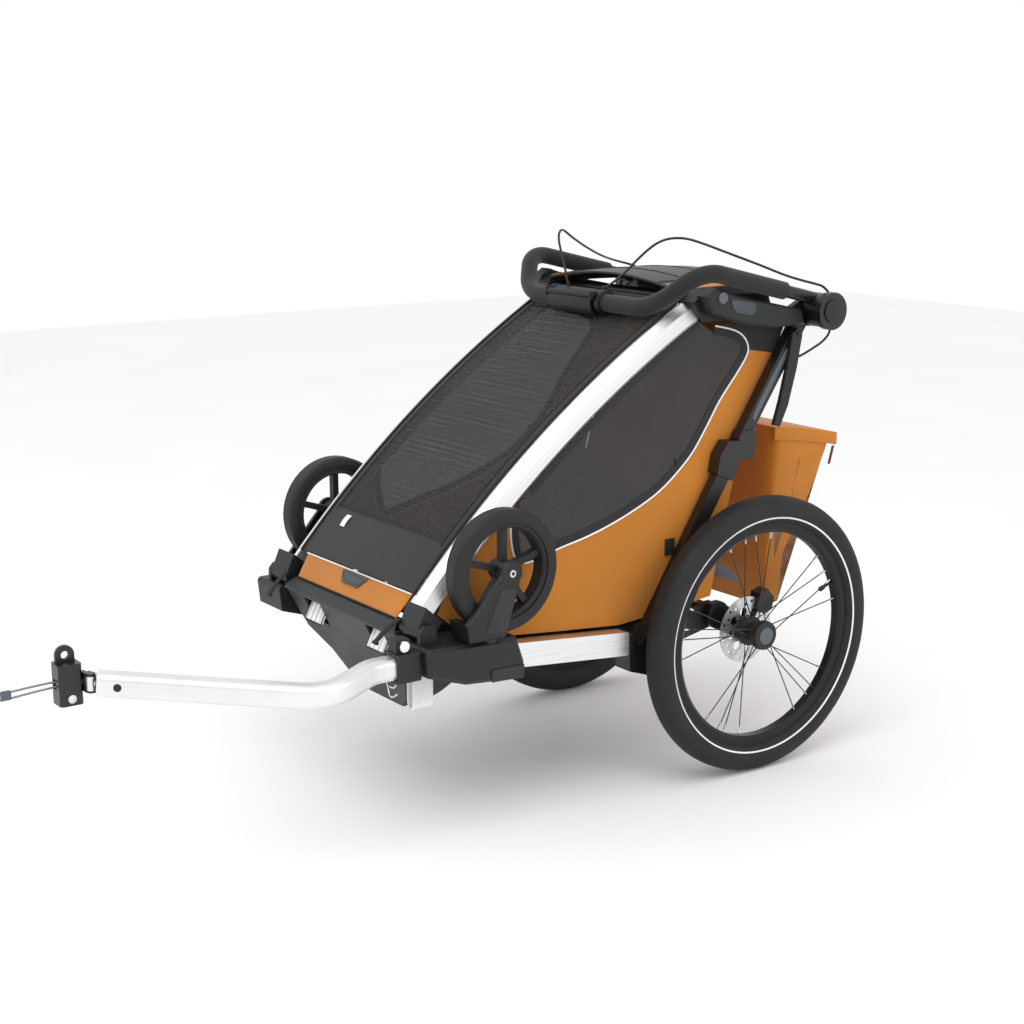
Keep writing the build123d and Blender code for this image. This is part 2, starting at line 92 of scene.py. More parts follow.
def on_arc(share, off=0.0):
    """(y, z) in mm on the rails' arc: share 0 at the low end and 1 at the top."""
    a = TURN[0] + (TURN[2] - TURN[0]) * share
    return ARC_C[0] + (ARC_R + off) * math.cos(a), ARC_C[1] + (ARC_R + off) * math.sin(a)


# ------------------------------------------------------------------ shaping tools

def choose(obj):
    """Selects one object alone and makes it active."""
    bpy.ops.object.select_all(action="DESELECT")
    obj.select_set(True)
    bpy.context.view_layer.objects.active = obj
    return obj


def named(name):
    obj = bpy.context.object
    obj.name = name
    obj.data.name = name
    return choose(obj)


def settle(obj):
    """Puts the object's place, turn and scale into its mesh."""
    choose(obj)
    bpy.ops.object.transform_apply(location=True, rotation=True, scale=True)
    return obj


def finish_with(obj, kind, **settings):
    """Adds a modifier with its settings and applies it."""
    choose(obj)
    modifier = obj.modifiers.new(kind.title(), kind)
    for key, value in settings.items():
        setattr(modifier, key, value)
    bpy.ops.object.modifier_apply(modifier=modifier.name)
    return obj


def round_edges(obj, width, segments=2, angle=35):
    return finish_with(obj, "BEVEL", width=width, segments=segments, limit_method="ANGLE",
                       angle_limit=math.radians(angle))


def thicken(obj, depth, offset=-1.0):
    return finish_with(obj, "SOLIDIFY", thickness=depth, offset=offset)


def smooth(obj, angle=40):
    choose(obj)
    bpy.ops.object.shade_smooth_by_angle(angle=math.radians(angle))
    return obj


def face_outwards(obj):
    choose(obj)
    bpy.ops.object.mode_set(mode="EDIT")
    bpy.ops.mesh.select_all(action="SELECT")
    bpy.ops.mesh.remove_doubles(threshold=1e-6)
    bpy.ops.mesh.normals_make_consistent(inside=False)
    bpy.ops.object.mode_set(mode="OBJECT")
    return obj


def cloth_grid(name, across, along, place):
    """A grid of cloth: place(u, v) gives each point, with u across and v along, 0 to 1."""
    bpy.ops.mesh.primitive_grid_add(x_subdivisions=across, y_subdivisions=along, size=1)
    obj = named(name)
    for v in obj.data.vertices:
        v.co = place(v.co.x + 0.5, v.co.y + 0.5)
    return obj


def cut_panel(name, outline, place, pitch=22.0):
    """A panel cut to an outline in mm, crossed by rows of cuts so that it can bend."""
    bpy.ops.mesh.primitive_circle_add(vertices=len(outline), radius=1, fill_type="NGON")
    obj = named(name)
    for v, (a, b) in zip(obj.data.vertices, outline):
        v.co = (a, b, 0)
    bpy.ops.object.mode_set(mode="EDIT")
    for axis in (0, 1):
        low, high = min(p[axis] for p in outline), max(p[axis] for p in outline)
        count = int((high - low) / pitch)
        for i in range(1, count + 1):
            at, normal = [0.0, 0.0, 0.0], [0.0, 0.0, 0.0]
            at[axis], normal[axis] = low + (high - low) * i / (count + 1), 1.0
            bpy.ops.mesh.select_all(action="SELECT")
            bpy.ops.mesh.bisect(plane_co=at, plane_no=normal)
    bpy.ops.object.mode_set(mode="OBJECT")
    for v in obj.data.vertices:
        v.co = place(v.co.x, v.co.y)
    return obj


def smooth_line(points, steps=10, closed=False):
    """Points along the smooth line that the given points steer."""
    curve = bpy.data.curves.new("line", "CURVE")
    curve.dimensions, curve.resolution_u = "3D", steps
    spline = curve.splines.new("NURBS")
    spline.points.add(len(points) - 1)
    for point, at in zip(spline.points, points):
        point.co = (*at, 1)
    spline.order_u, spline.use_endpoint_u, spline.use_cyclic_u = 3, not closed, closed
    holder = bpy.data.objects.new("line", curve)
    bpy.context.scene.collection.objects.link(holder)
    bpy.context.view_layer.update()
    mesh = bpy.data.meshes.new_from_object(holder)
    line = [v.co.copy() for v in mesh.vertices]
    bpy.data.objects.remove(holder)
    bpy.data.curves.remove(curve)
    bpy.data.meshes.remove(mesh)
    return line


def along(path, share):
    """The point at a share of the way through a list of points."""
    count = len(path) - 1
    i = min(int(share * count), count - 1)
    return path[i].lerp(path[i + 1], share * count - i)


def tube(name, points, radius, cord=False, sides=3, steps=10, closed=False):
    """A round tube along a smooth line; a cord stays a curve, the rest become meshes."""
    curve = bpy.data.curves.new(name, "CURVE")
    curve.dimensions, curve.resolution_u = "3D", steps
    curve.bevel_depth, curve.bevel_resolution, curve.use_fill_caps = radius, sides, True
    spline = curve.splines.new("NURBS")
    spline.points.add(len(points) - 1)
    for point, at in zip(spline.points, points):
        point.co = (*at, 1)
    spline.order_u, spline.use_endpoint_u, spline.use_cyclic_u = 3, not closed, closed
    obj = bpy.data.objects.new(name, curve)
    bpy.context.scene.collection.objects.link(obj)
    if not cord:
        choose(obj)
        bpy.ops.object.convert(target="MESH")
        obj = bpy.context.object
        smooth(obj, 50)
    return obj


def brick(name, low, high, edge=1.0, segments=2):
    """A block between two corners in mm, with its edges rounded."""
    a, b = P(*low), P(*high)
    bpy.ops.mesh.primitive_cube_add(size=1, location=(a + b) / 2)
    obj = named(name)
    obj.scale = b - a
    settle(obj)
    round_edges(obj, edge / 1000, segments)
    return smooth(obj)


def drum(name, centre, radius, depth, axis=(1, 0, 0), edge=0.6, sides=32):
    """A turned disc in mm about an axis, with its rims rounded."""
    bpy.ops.mesh.primitive_cylinder_add(vertices=sides, radius=radius / 1000,
                                        depth=depth / 1000)
    obj = named(name)
    obj.rotation_mode = "QUATERNION"
    obj.rotation_quaternion = Vector((0, 0, 1)).rotation_difference(Vector(axis))
    obj.location = P(*centre)
    settle(obj)
    round_edges(obj, edge / 1000)
    return smooth(obj)


def outline_plate(name, outline, depth, place, edge=0.8):
    """A thin plate cut to an outline in mm; place(a, b, c) puts c mm of depth in the model."""
    bpy.ops.mesh.primitive_circle_add(vertices=len(outline), radius=1, fill_type="NGON")
    obj = named(name)
    for v, (a, b) in zip(obj.data.vertices, outline):
        v.co = (a, b, 0)
    bpy.ops.object.mode_set(mode="EDIT")
    bpy.ops.mesh.select_all(action="SELECT")
    bpy.ops.mesh.extrude_region_move(TRANSFORM_OT_translate={"value": (0, 0, depth)})
    bpy.ops.object.mode_set(mode="OBJECT")
    for v in obj.data.vertices:
        v.co = place(*v.co)
    face_outwards(obj)
    round_edges(obj, edge / 1000)
    return smooth(obj)


def mirrored(obj, name):
    """A copy of a piece for the other side, with its own mesh."""
    choose(obj)
    bpy.ops.object.duplicate(linked=False)
    twin = named(name)
    for v in twin.data.vertices:
        v.co.x = -v.co.x
    bpy.ops.object.mode_set(mode="EDIT")
    bpy.ops.mesh.select_all(action="SELECT")
    bpy.ops.mesh.flip_normals()
    bpy.ops.object.mode_set(mode="OBJECT")
    return twin


def on_side(obj, sign):
    """Turns a piece made on the left over to the right when sign is below 0."""
    if sign < 0:
        for v in obj.data.vertices:
            v.co.x = -v.co.x
        face_outwards(obj)
    return obj


def joined(name, pieces):
    """One piece from several, keeping each one's materials."""
    choose(pieces[0])
    for obj in pieces:
        obj.select_set(True)
    bpy.ops.object.join()
    return named(name)


def clad(obj, finish):
    """Gives a piece its finish."""
    obj.data.materials.clear()
    obj.data.materials.append(FINISH[finish])
    return obj


def fold_with_cabin(obj):
    """Puts the piece's place, turn and scale into its mesh; the cloth does not bend with the
    cabin's fold.
    """
    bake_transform(obj)
    return obj


# ------------------------------------------------------------------ materials

def colour(code):
    """sRGB hex to linear RGBA; a setting's colour is linear already."""
    if not isinstance(code, str):
        return tuple(code)
    parts = [int(code[i:i + 2], 16) / 255 for i in (1, 3, 5)]
    return (*[c / 12.92 if c <= 0.04045 else ((c + 0.055) / 1.055) ** 2.4 for c in parts], 1)


def add(tree, kind, inputs=None, **settings):
    """Adds a node with its settings; each input is a value or another node's output."""
    node = tree.nodes.new(kind)
    for key, value in settings.items():
        setattr(node, key, value)
    for socket, value in (inputs or {}).items():
        if isinstance(value, bpy.types.NodeSocket):
            tree.links.new(value, node.inputs[socket])
        else:
            node.inputs[socket].default_value = value
    return node


MADE = {}


def finish(name, look, surface, **shader):
    """A material: look(tree, place) gives its patterned inputs, shader its plain ones."""
    if name in MADE:
        return MADE[name]
    material = bpy.data.materials.new(name)
    material.use_nodes = True
    tree = material.node_tree
    tree.nodes.clear()
    place = add(tree, "ShaderNodeTexCoord").outputs["Object"]
    inputs = dict(shader)
    inputs.update(look(tree, place))
    made = add(tree, "ShaderNodeBsdfPrincipled", {k: v for k, v in inputs.items()})
    add(tree, "ShaderNodeOutputMaterial", {"Surface": made.outputs[0]})
    material["surface"] = surface
    MADE[name] = material
    return material


def grain(tree, place, size_mm, detail=3.0, stretch=(1, 1, 1)):
    """Noise whose lumps are about size_mm across."""
    scaled = add(tree, "ShaderNodeMapping", {"Vector": place, "Scale": stretch})
    return add(tree, "ShaderNodeTexNoise", {"Vector": scaled.outputs[0],
               "Scale": 1000 / size_mm / 2, "Detail": detail, "Roughness": 0.55}).outputs["Fac"]


def spread(tree, value, low, high, start=0.3, end=0.7):
    """Takes a pattern's value to a range, such as a roughness range."""
    return add(tree, "ShaderNodeMapRange", {"Value": value, "From Min": start, "From Max": end,
               "To Min": low, "To Max": high}).outputs[0]


def tint(tree, share, first, second):
    """Goes from one colour to another as the pattern rises."""
    return add(tree, "ShaderNodeMix", {"Factor": share, "A": colour(first), "B": colour(second)},
               data_type="RGBA").outputs["Result"]


def relief(tree, height, depth_mm, over=None):
    """Bump from a height pattern, its depth given in millimetres."""
    inputs = {"Height": height, "Distance": depth_mm / 1000, "Strength": 1.0}
    if over is not None:
        inputs["Normal"] = over
    return add(tree, "ShaderNodeBump", inputs).outputs[0]


def sum_of(tree, a, b, how="ADD", clamp=False):
    return add(tree, "ShaderNodeMath", {0: a, 1: b}, operation=how, use_clamp=clamp).outputs[0]


def threads(tree, place, pitch_mm, how="ADD"):
    """Crossed threads along all three axes, so that every facing of a cloth shows two."""
    total = None
    for axis in "XYZ":
        wave = add(tree, "ShaderNodeTexWave", {"Vector": place,
                   "Scale": 1000 / pitch_mm / 20 * 3.14,
                   "Distortion": 0.0}, bands_direction=axis).outputs["Fac"]
        total = wave if total is None else sum_of(tree, total, wave, how)
    return spread(tree, total, 0, 1, 0.4, 2.2)


def moulded(base, worn, rough, size_mm=0.9, depth_mm=0.03):
    """Injection moulding: a fine etched grain, faintly paler where hands rub it."""
    def look(tree, place):
        fine, broad = grain(tree, place, size_mm), grain(tree, place, 60.0, 2.0)
        return {"Base Color": tint(tree, spread(tree, broad, 0, 1), base, worn),
                "Roughness": spread(tree, broad, rough - 0.06, rough + 0.08),
                "Normal": relief(tree, fine, depth_mm)}
    return look


def coated(base, worn, rough):
    """Powder coat over steel: orange peel in the gloss."""
    def look(tree, place):
        peel, broad = grain(tree, place, 2.4, 2.0), grain(tree, place, 90.0, 2.0)
        return {"Base Color": tint(tree, spread(tree, broad, 0, 1), base, worn),
                "Roughness": spread(tree, broad, rough - 0.05, rough + 0.07),
                "Normal": relief(tree, peel, 0.025)}
    return look


def brushed(base, dull, rough, about_arc=False):
    """Brushing lines along the length of an extrusion, drawn 1.2 mm apart so that they show."""
    def look(tree, place):
        if about_arc:
            centre = (0.0, ARC_C[0] / 1000 + AXLE, ARC_C[1] / 1000)
            flat = add(tree, "ShaderNodeVectorMath", {0: place, 1: (0, 1, 1)}, operation="MULTIPLY")
            radius = add(tree, "ShaderNodeVectorMath", {0: flat.outputs[0], 1: centre},
                         operation="DISTANCE").outputs["Value"]
            parts = add(tree, "ShaderNodeSeparateXYZ", {0: place})
            at = add(tree, "ShaderNodeCombineXYZ", {0: parts.outputs[0], 1: radius}).outputs[0]
            lines = grain(tree, at, 1.2, 4.0)
        else:
            lines = grain(tree, place, 1.2, 4.0, (1, 0.02, 1))
        broad = grain(tree, place, 120.0, 2.0)
        return {"Base Color": tint(tree, spread(tree, lines, 0, 1), dull, base),
                "Roughness": sum_of(tree, spread(tree, lines, rough - 0.05, rough + 0.08),
                                    spread(tree, broad, 0, 0.06)),
                "Normal": relief(tree, lines, 0.012)}
    return look


def cast(base, dull, rough):
    """Bead-blasted aluminium: even, with a soft sparkle and slight handling marks."""
    def look(tree, place):
        fine, broad = grain(tree, place, 0.8, 2.0), grain(tree, place, 70.0, 3.0)
        return {"Base Color": tint(tree, spread(tree, broad, 0, 1), dull, base),
                "Roughness": spread(tree, broad, rough - 0.04, rough + 0.08),
                "Normal": relief(tree, fine, 0.02)}
    return look


def polished(base):
    def look(tree, place):
        marks = grain(tree, place, 8.0, 4.0)
        return {"Base Color": tint(tree, spread(tree, marks, 0, 1), "#B9BCC0", base),
                "Roughness": spread(tree, marks, 0.10, 0.22)}
    return look


def woven(base, shade, pitch_mm, crease_mm=0.5):
    """Plain-weave cloth: threads, a slow random change of colour, painted shade between the threads
    and soft creases.
    """
    def look(tree, place):
        weave = threads(tree, place, pitch_mm)
        slow, folds = grain(tree, place, 160.0, 3.0), grain(tree, place, 70.0, 2.0)
        # the slow noise varies the colour at random; the weave term is painted shade, darker where
        # the bump sinks between threads
        tone_and_weave_shade = sum_of(tree, spread(tree, slow, 0, 0.75), spread(tree, weave, 0.0, 0.25, 0, 1))
        return {"Base Color": tint(tree, tone_and_weave_shade, shade, base),
                "Normal": relief(tree, weave, 0.10, relief(tree, folds, crease_mm))}
    return look


def netting(tree, place):
    """Knitted mesh: fine holes let the light through; drawn 4 mm apart so that they show."""
    holes = threads(tree, place, 4.0, "ADD")
    slow = grain(tree, place, 120.0)
    return {"Base Color": tint(tree, spread(tree, slow, 0, 1), "#2A2A2B", "#343435"),
            "Alpha": spread(tree, holes, 0.42, 0.66, 0.2, 0.8),
            "Normal": relief(tree, holes, 0.15)}


def clear_film(tree, place):
    """Tinted vinyl film: smooth, with long shallow waves that bend its reflections."""
    waves = grain(tree, place, 110.0, 1.0)
    smears = grain(tree, place, 40.0, 3.0)
    return {"Base Color": tint(tree, spread(tree, smears, 0, 1), "#1E1E1F", "#262626"),
            "Roughness": spread(tree, smears, 0.10, 0.22),
            "Normal": relief(tree, waves, 1.0)}


def nicked_rubber(tree, place):
    """Tyre rubber: dull, with short curved nicks in the tread's shoulders, 28 to a turn, coloured
    near black as painted shade in the grooves.
    """
    at = add(tree, "ShaderNodeVectorMath", {0: place, 1: (0, AXLE, WHEEL_Z)}, operation="SUBTRACT")
    parts = add(tree, "ShaderNodeSeparateXYZ", {0: at.outputs[0]})
    turn = sum_of(tree, parts.outputs[2], parts.outputs[1], "ARCTAN2")
    away = sum_of(tree, sum_of(tree, parts.outputs[0], 0, "ABSOLUTE"), WHEEL_X, "SUBTRACT")
    side = sum_of(tree, away, 0, "ABSOLUTE")
    bent = sum_of(tree, sum_of(tree, side, side, "MULTIPLY"), 260.0, "MULTIPLY")
    count = sum_of(tree, sum_of(tree, turn, bent), 28 / (2 * math.pi), "MULTIPLY")
    phase = sum_of(tree, sum_of(tree, count, 0, "FRACT"), 0.5, "SUBTRACT")
    near = sum_of(tree, sum_of(tree, phase, 0, "ABSOLUTE"), 0.022, "LESS_THAN")
    low = sum_of(tree, side, 0.011, "GREATER_THAN")
    high = sum_of(tree, side, 0.0195, "LESS_THAN")
    cut = sum_of(tree, sum_of(tree, near, low, "MULTIPLY"), high, "MULTIPLY")
    fine, dust = grain(tree, place, 1.2), grain(tree, place, 50.0)
    base = tint(tree, spread(tree, dust, 0, 1), "#101011", "#161616")
    # painted shade: the nicks are coloured near black, standing in for the shade in their grooves
    dark = add(tree, "ShaderNodeMix", {"Factor": cut, "A": base, "B": colour("#020202")},
               data_type="RGBA").outputs["Result"]
    height = sum_of(tree, sum_of(tree, fine, 0.04, "MULTIPLY"), cut, "SUBTRACT")
    return {"Base Color": dark, "Roughness": spread(tree, dust, 0.62, 0.8),
            "Normal": relief(tree, height, 0.9)}


def closed_cell(tree, place):
    """Foam sleeve: closed cells about 1.5 mm across leave a fine pitted skin."""
    cells = add(tree, "ShaderNodeTexVoronoi", {"Vector": place, "Scale": 600.0}).outputs["Distance"]
    slow = grain(tree, place, 60.0)
    return {"Base Color": tint(tree, spread(tree, slow, 0, 1), "#0C0C0D", "#141415"),
            "Normal": relief(tree, cells, 0.12)}


def ribbed_lens(tree, place):
    """Reflector lens: upright ribs 7 mm wide over a bright back, with painted shade: each trough
    between ribs is coloured darker than the crests.
    """
    rib = add(tree, "ShaderNodeTexWave", {"Vector": place, "Scale": 22.0, "Distortion": 0.0},
              bands_direction="X").outputs["Fac"]
    cube = add(tree, "ShaderNodeTexVoronoi", {"Vector": place, "Scale": 420.0}).outputs["Distance"]
    # painted shade: the colour follows the ribs' bump, darker in each trough and paler on each
    # crest
    return {"Base Color": tint(tree, rib, "#C9CBCE", "#F6F7F8"),
            "Normal": relief(tree, cube, 0.2, relief(tree, rib, 1.2))}


def webbed(base, shade):
    """Flat webbing: ribs across its width every 1.6 mm."""
    def look(tree, place):
        ribs, slow = threads(tree, place, 2.2), grain(tree, place, 40.0)
        return {"Base Color": tint(tree, spread(tree, slow, 0.2, 1), shade, base),
                "Normal": relief(tree, ribs, 0.25)}
    return look


def twisted_wire(tree, place):
    """Steel rope in a clear coat: the strands show as slanting lines, with painted light and shade:
    crests coloured paler, grooves between strands darker.
    """
    slanted = add(tree, "ShaderNodeMapping", {"Vector": place, "Rotation": (0.6, 0.0, 0.6)})
    strands = add(tree, "ShaderNodeTexWave", {"Vector": slanted.outputs[0], "Scale": 160.0,
                  "Distortion": 0.0}).outputs["Fac"]
    # painted highlight and shade: the colour follows the strands' bump, paler on the crests and
    # darker in the grooves
    return {"Base Color": tint(tree, strands, "#5C5E61", "#8B8D90"),
            "Normal": relief(tree, strands, 0.3)}


def finishes():
    """All finishes, each named for its real material and how its surface was made."""
    F = finish
    return {
        # Butyl tyre rubber: dull black, dusty on the tread.
        "tyre_rubber": F("tyre_rubber", nicked_rubber, "moulded rubber"),
        "small_tyre_rubber": F("small_tyre_rubber", moulded("#0B0B0C", "#121213", 0.6, 2.0, 0.05),
                               "moulded rubber"),
        # Etched black polypropylene: satin, the grain kills sharp reflections.
        "moulded_black": F("moulded_black", moulded("#0A0A0B", "#0F1011", 0.5), "etched mould"),
        # Etched charcoal polypropylene of the nose and buttons, a shade paler.
        "moulded_charcoal": F("moulded_charcoal", moulded("#1C1D1E", "#232425", 0.52),
                              "etched mould"),
        # Grey polyamide of the press buttons and inner hooks.
        "moulded_grey": F("moulded_grey", moulded("#4A4F56", "#565C64", 0.42), "etched mould"),
        # Powder-coated steel tube: soft gloss with orange peel.
        "coated_black": F("coated_black", coated("#08090A", "#0D0E0F", 0.38), "powder coat",
                          **{"Coat Weight": 0.15, "Coat Roughness": 0.3}),
        # Brushed, clear-anodised aluminium extrusion: bright, with lines along its length.
        "brushed_rail": F("brushed_rail", brushed("#F1F1F2", "#D9DADC", 0.3, True),
                          "brushed and anodised", Metallic=1.0),
        "brushed_straight": F("brushed_straight", brushed("#F1F1F2", "#DADBDD", 0.3),
                              "brushed and anodised", Metallic=1.0),
        # Blasted, anodised aluminium of the hitch arm: paler and softer than the rails.
        "blasted_aluminium": F("blasted_aluminium", cast("#F0F0F1", "#DCDDDF", 0.36),
                               "bead blasted", Metallic=1.0),
        # Chromed steel of pins, clips and nipples: near mirror.
        "chrome": F("chrome", polished("#E3E5E8"), "chrome plated", Metallic=1.0),
        # Ground stainless brake disc.
        "ground_steel": F("ground_steel", cast("#D4D6D9", "#B9BBBE", 0.3), "ground",
                          Metallic=1.0),
        # Anodised black alloy rim.
        "anodised_black": F("anodised_black", coated("#08090A", "#0E0F10", 0.38), "anodised",
                            Metallic=0.3),
        # Foam sleeve on the handlebar.
        "foam_sleeve": F("foam_sleeve", closed_cell, "closed-cell foam", Roughness=0.82,
                         **{"Sheen Weight": 0.15}),
        # Polyester canvas in marigold: matt, faintly fuzzy at the edges.
        "gold_canvas": F("gold_canvas", woven(looks().gold, "#A9650E", 1.8), "plain weave",
                         Roughness=0.86, **{"Sheen Weight": 0.25, "Sheen Roughness": 0.5}),
        # Charcoal canvas of covers and roof.
        "dark_canvas": F("dark_canvas", woven("#1D1D1E", "#161617", 1.8), "plain weave",
                         Roughness=0.88, **{"Sheen Weight": 0.2, "Sheen Roughness": 0.5}),
        # Brushed lining cloth of the seat.
        "seat_cloth": F("seat_cloth", woven("#4B4C4E", "#3C3D3F", 2.4, 1.2), "brushed weave",
                        Roughness=0.92, **{"Sheen Weight": 0.35, "Sheen Roughness": 0.4}),
        "netting": F("netting", netting, "knitted mesh", Roughness=0.8),
        # Tinted vinyl window.
        "tinted_film": F("tinted_film", clear_film, "calendered film", Alpha=looks().tint, IOR=1.5,
                         **{"Coat Weight": 0.4, "Coat Roughness": 0.08}),
        # White reflective piping and tyre stripe: glass-bead tape, nearly white.
        "white_piping": F("white_piping", webbed("#F2F2F0", "#DEDEDC"), "coated tape",
                          Roughness=0.55),
        "reflective_stripe": F("reflective_stripe", cast("#F4F5F6", "#DADCDE", 0.42),
                               "glass-bead tape"),
        # Webbing.
        "white_webbing": F("white_webbing", webbed("#F0F0F0", "#DADADB"), "woven webbing",
                           Roughness=0.8),
        "black_webbing": F("black_webbing", webbed("#1C1C1D", "#131314"), "woven webbing",
                           Roughness=0.8),
        "red_webbing": F("red_webbing", webbed("#7C1A1C", "#651416"), "woven webbing",
                         Roughness=0.7),
        # Clear polycarbonate reflector.
        "reflector": F("reflector", ribbed_lens, "moulded prisms", Roughness=0.12,
                       **{"Coat Weight": 0.6, "Coat Roughness": 0.05}),
        # Blue-grey rubber badge without any mark.
        "badge_rubber": F("badge_rubber", moulded("#333C42", "#3E484F", 0.5, 1.2), "moulded"),
        # Nylon cable housing: smooth, softly glossy.
        "cable_nylon": F("cable_nylon", moulded("#0E0E0F", "#161617", 0.3, 4.0, 0.01),
                         "extruded nylon"),
        "wire_rope": F("wire_rope", twisted_wire, "coated wire rope", Roughness=0.35,
                       **{"Coat Weight": 0.5}),
    }


FINISH = {}


# ------------------------------------------------------------------ settings

class TRAILER_PG_looks(bpy.types.PropertyGroup):
    gold: bpy.props.FloatVectorProperty(
        name="Canvas colour", description="Colour of the bright canvas", subtype="COLOR",
        size=4, min=0, max=1, default=colour("#C77A14"))
    tint: bpy.props.FloatProperty(
        name="Window tint", description="How much of the view the window film hides",
        subtype="FACTOR", min=0, max=1, default=0.62)


class TRAILER_PG_sizes(bpy.types.PropertyGroup):
    piping: bpy.props.FloatProperty(
        name="Piping", description="Radius of the white piping", subtype="DISTANCE",
        unit="LENGTH", default=0.0017, min=0.0005, max=0.004)
    cloth: bpy.props.FloatProperty(
        name="Canvas", description="Thickness of the canvas", subtype="DISTANCE",
        unit="LENGTH", default=0.0012, min=0.0004, max=0.003)
    bulge: bpy.props.FloatProperty(
        name="Side bulge", description="How far the side cloth stands out", subtype="DISTANCE",
        unit="LENGTH", default=0.004, min=0, max=0.008)


def looks():
    return bpy.context.scene.trailer_looks


def sizes():
    return bpy.context.scene.trailer_sizes


# ------------------------------------------------------------------ stage

def make_stage():
    """Pale floor, soft lights and the camera."""
    bpy.ops.mesh.primitive_plane_add(size=14, location=(0, 0, -0.0006))
    floor = settle(named("floor"))
    paper = bpy.data.materials.new("painted_floor")
    paper.use_nodes = True
    tree = paper.node_tree
    tree.nodes.clear()
    place = add(tree, "ShaderNodeTexCoord").outputs["Object"]
    fleck = grain(tree, place, 300.0, 2.0)
    made = add(tree, "ShaderNodeBsdfPrincipled", {
        "Base Color": tint(tree, spread(tree, fleck, 0, 1), "#F4F4F4", "#F7F7F7"),
        "Roughness": 0.9, "Specular IOR Level": 0.2})
    add(tree, "ShaderNodeOutputMaterial", {"Surface": made.outputs[0]})
    floor.data.materials.append(paper)

    world = bpy.data.worlds.new("soft_room")
    world.use_nodes = True
    world.node_tree.nodes["Background"].inputs["Color"].default_value = (1, 1, 1, 1)
    world.node_tree.nodes["Background"].inputs["Strength"].default_value = 1.0
    bpy.context.scene.world = world
    bpy.context.scene.view_settings.view_transform = "Standard"
    for name, at, size, power in (("key_light", (1.6, -1.2, 3.4), 2.6, 40.0),
                                  ("side_light", (3.6, 1.6, 1.6), 2.0, 10.0),
                                  ("front_light", (-1.6, -3.4, 2.0), 2.2, 14.0)):
        bpy.ops.object.light_add(type="AREA", location=at)
        light = bpy.context.object
        light.name = name
        light.data.energy, light.data.shape, light.data.size = power, "DISK", size
        light.rotation_mode = "QUATERNION"
        light.rotation_quaternion = (Vector((0, 0.1, 0.4)) - Vector(at)).to_track_quat("-Z", "Y")

    bpy.ops.object.camera_add(location=(2.565484, -1.680340, 1.165518),
                              rotation=(math.radians(75.0), 0, math.radians(54.839)))
    camera = bpy.context.object
    camera.name = "camera"
    camera.data.sensor_width, camera.data.lens = 36.0, 63.145
    camera.data.shift_x, camera.data.shift_y = 0.0, 0.0764
    bpy.context.scene.camera = camera


# ------------------------------------------------------------------ cords

def length_of(points):
    line = smooth_line(points)
    return sum((b - a).length for a, b in zip(line, line[1:]))


def cable(name, route, radius, body, stiffness="medium", lay="hanging", nodes=(), **more):
    points = [P(*p) for p in route]
    obj = tube(name, points, radius / 1000, cord=True, steps=12)
    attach(obj, body)
    if nodes:
        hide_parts(*nodes)
    tuple(points[0])
    length_of(points)
    return obj


def make_leash():
    """Safety leash: a coated wire rope that loops out of the hitch head and back."""
    slider = brick("leash_slider", (74.0, -1319, 322.6), (82.0, -1303, 337.4), 2.4)
    clad(slider, "moulded_grey")
    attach(slider, "coupler")
    leash = cable("leash_rope", [
        (80, -1234.2, 338), (79.5, -1270, 337), (78.5, -1306, 334.2), (77.5, -1340, 334.4),
        (77, -1370, 338), (76.6, -1397, 343), (76.4, -1419, 343.8), (76.3, -1431.4, 342),
        (76.2, -1440, 333.5), (76.2, -1440, 322), (76.3, -1431, 314), (76.4, -1418, 311.5),
        (76.6, -1397, 314.5), (77, -1370, 319.5), (77.5, -1340, 322.5), (78.5, -1306, 324.5),
        (79.5, -1270, 328), (80, -1234.2, 330)], 1.75, "coupler", "stiff", "hanging",
        nodes=("leash",), with_pieces=[slider])
    clad(leash, "wire_rope")


def make_brake_cables():
    """Brake cables: two arch from the console to the grip pivots, two drop behind the knobs."""
    near = cable("brake_cable_near", [
        (44, -176, 858.3), (50, -140, 880), (62, -104, 918), (82, -78, 943), (106, -50, 947),
        (132, -28, 938), (170, 5, 920), (205, 45, 901), (240, 70, 885), (261, 92, 876),
        (264.5, 122, 869), (264, 148, 862), (262, 163.5, 846.5)], 2.2, "handle",
        nodes=("upper_cables",))
    far = cable("brake_cable_far", [
        (-58, -178, 858.3), (-61, -182, 885), (-66, -188, 915), (-74, -190, 944),
        (-88, -172, 958), (-112, -132, 940), (-142, -84, 922), (-178, -32, 906),
        (-215, 20, 892), (-244, 60, 883), (-261, 92, 876), (-264.5, 122, 869),
        (-264, 148, 862), (-262, 163.5, 846.5)], 2.2, "handle")
    drop = [(233, 172, 805.4), (233.5, 192, 795), (234, 196, 776), (234, 178, 760),
            (234, 154, 750), (234.5, 128, 740), (235, 102, 734), (235, 86.2, 733)]
    left = cable("brake_drop_left", drop, 2.2, "cabin", nodes=("lower_cables",))
    right = cable("brake_drop_right", [(-x, y, z) for x, y, z in drop], 2.2, "cabin")
    for obj in (near, far, left, right):
        clad(obj, "cable_nylon")


# ------------------------------------------------------------------ carried parts

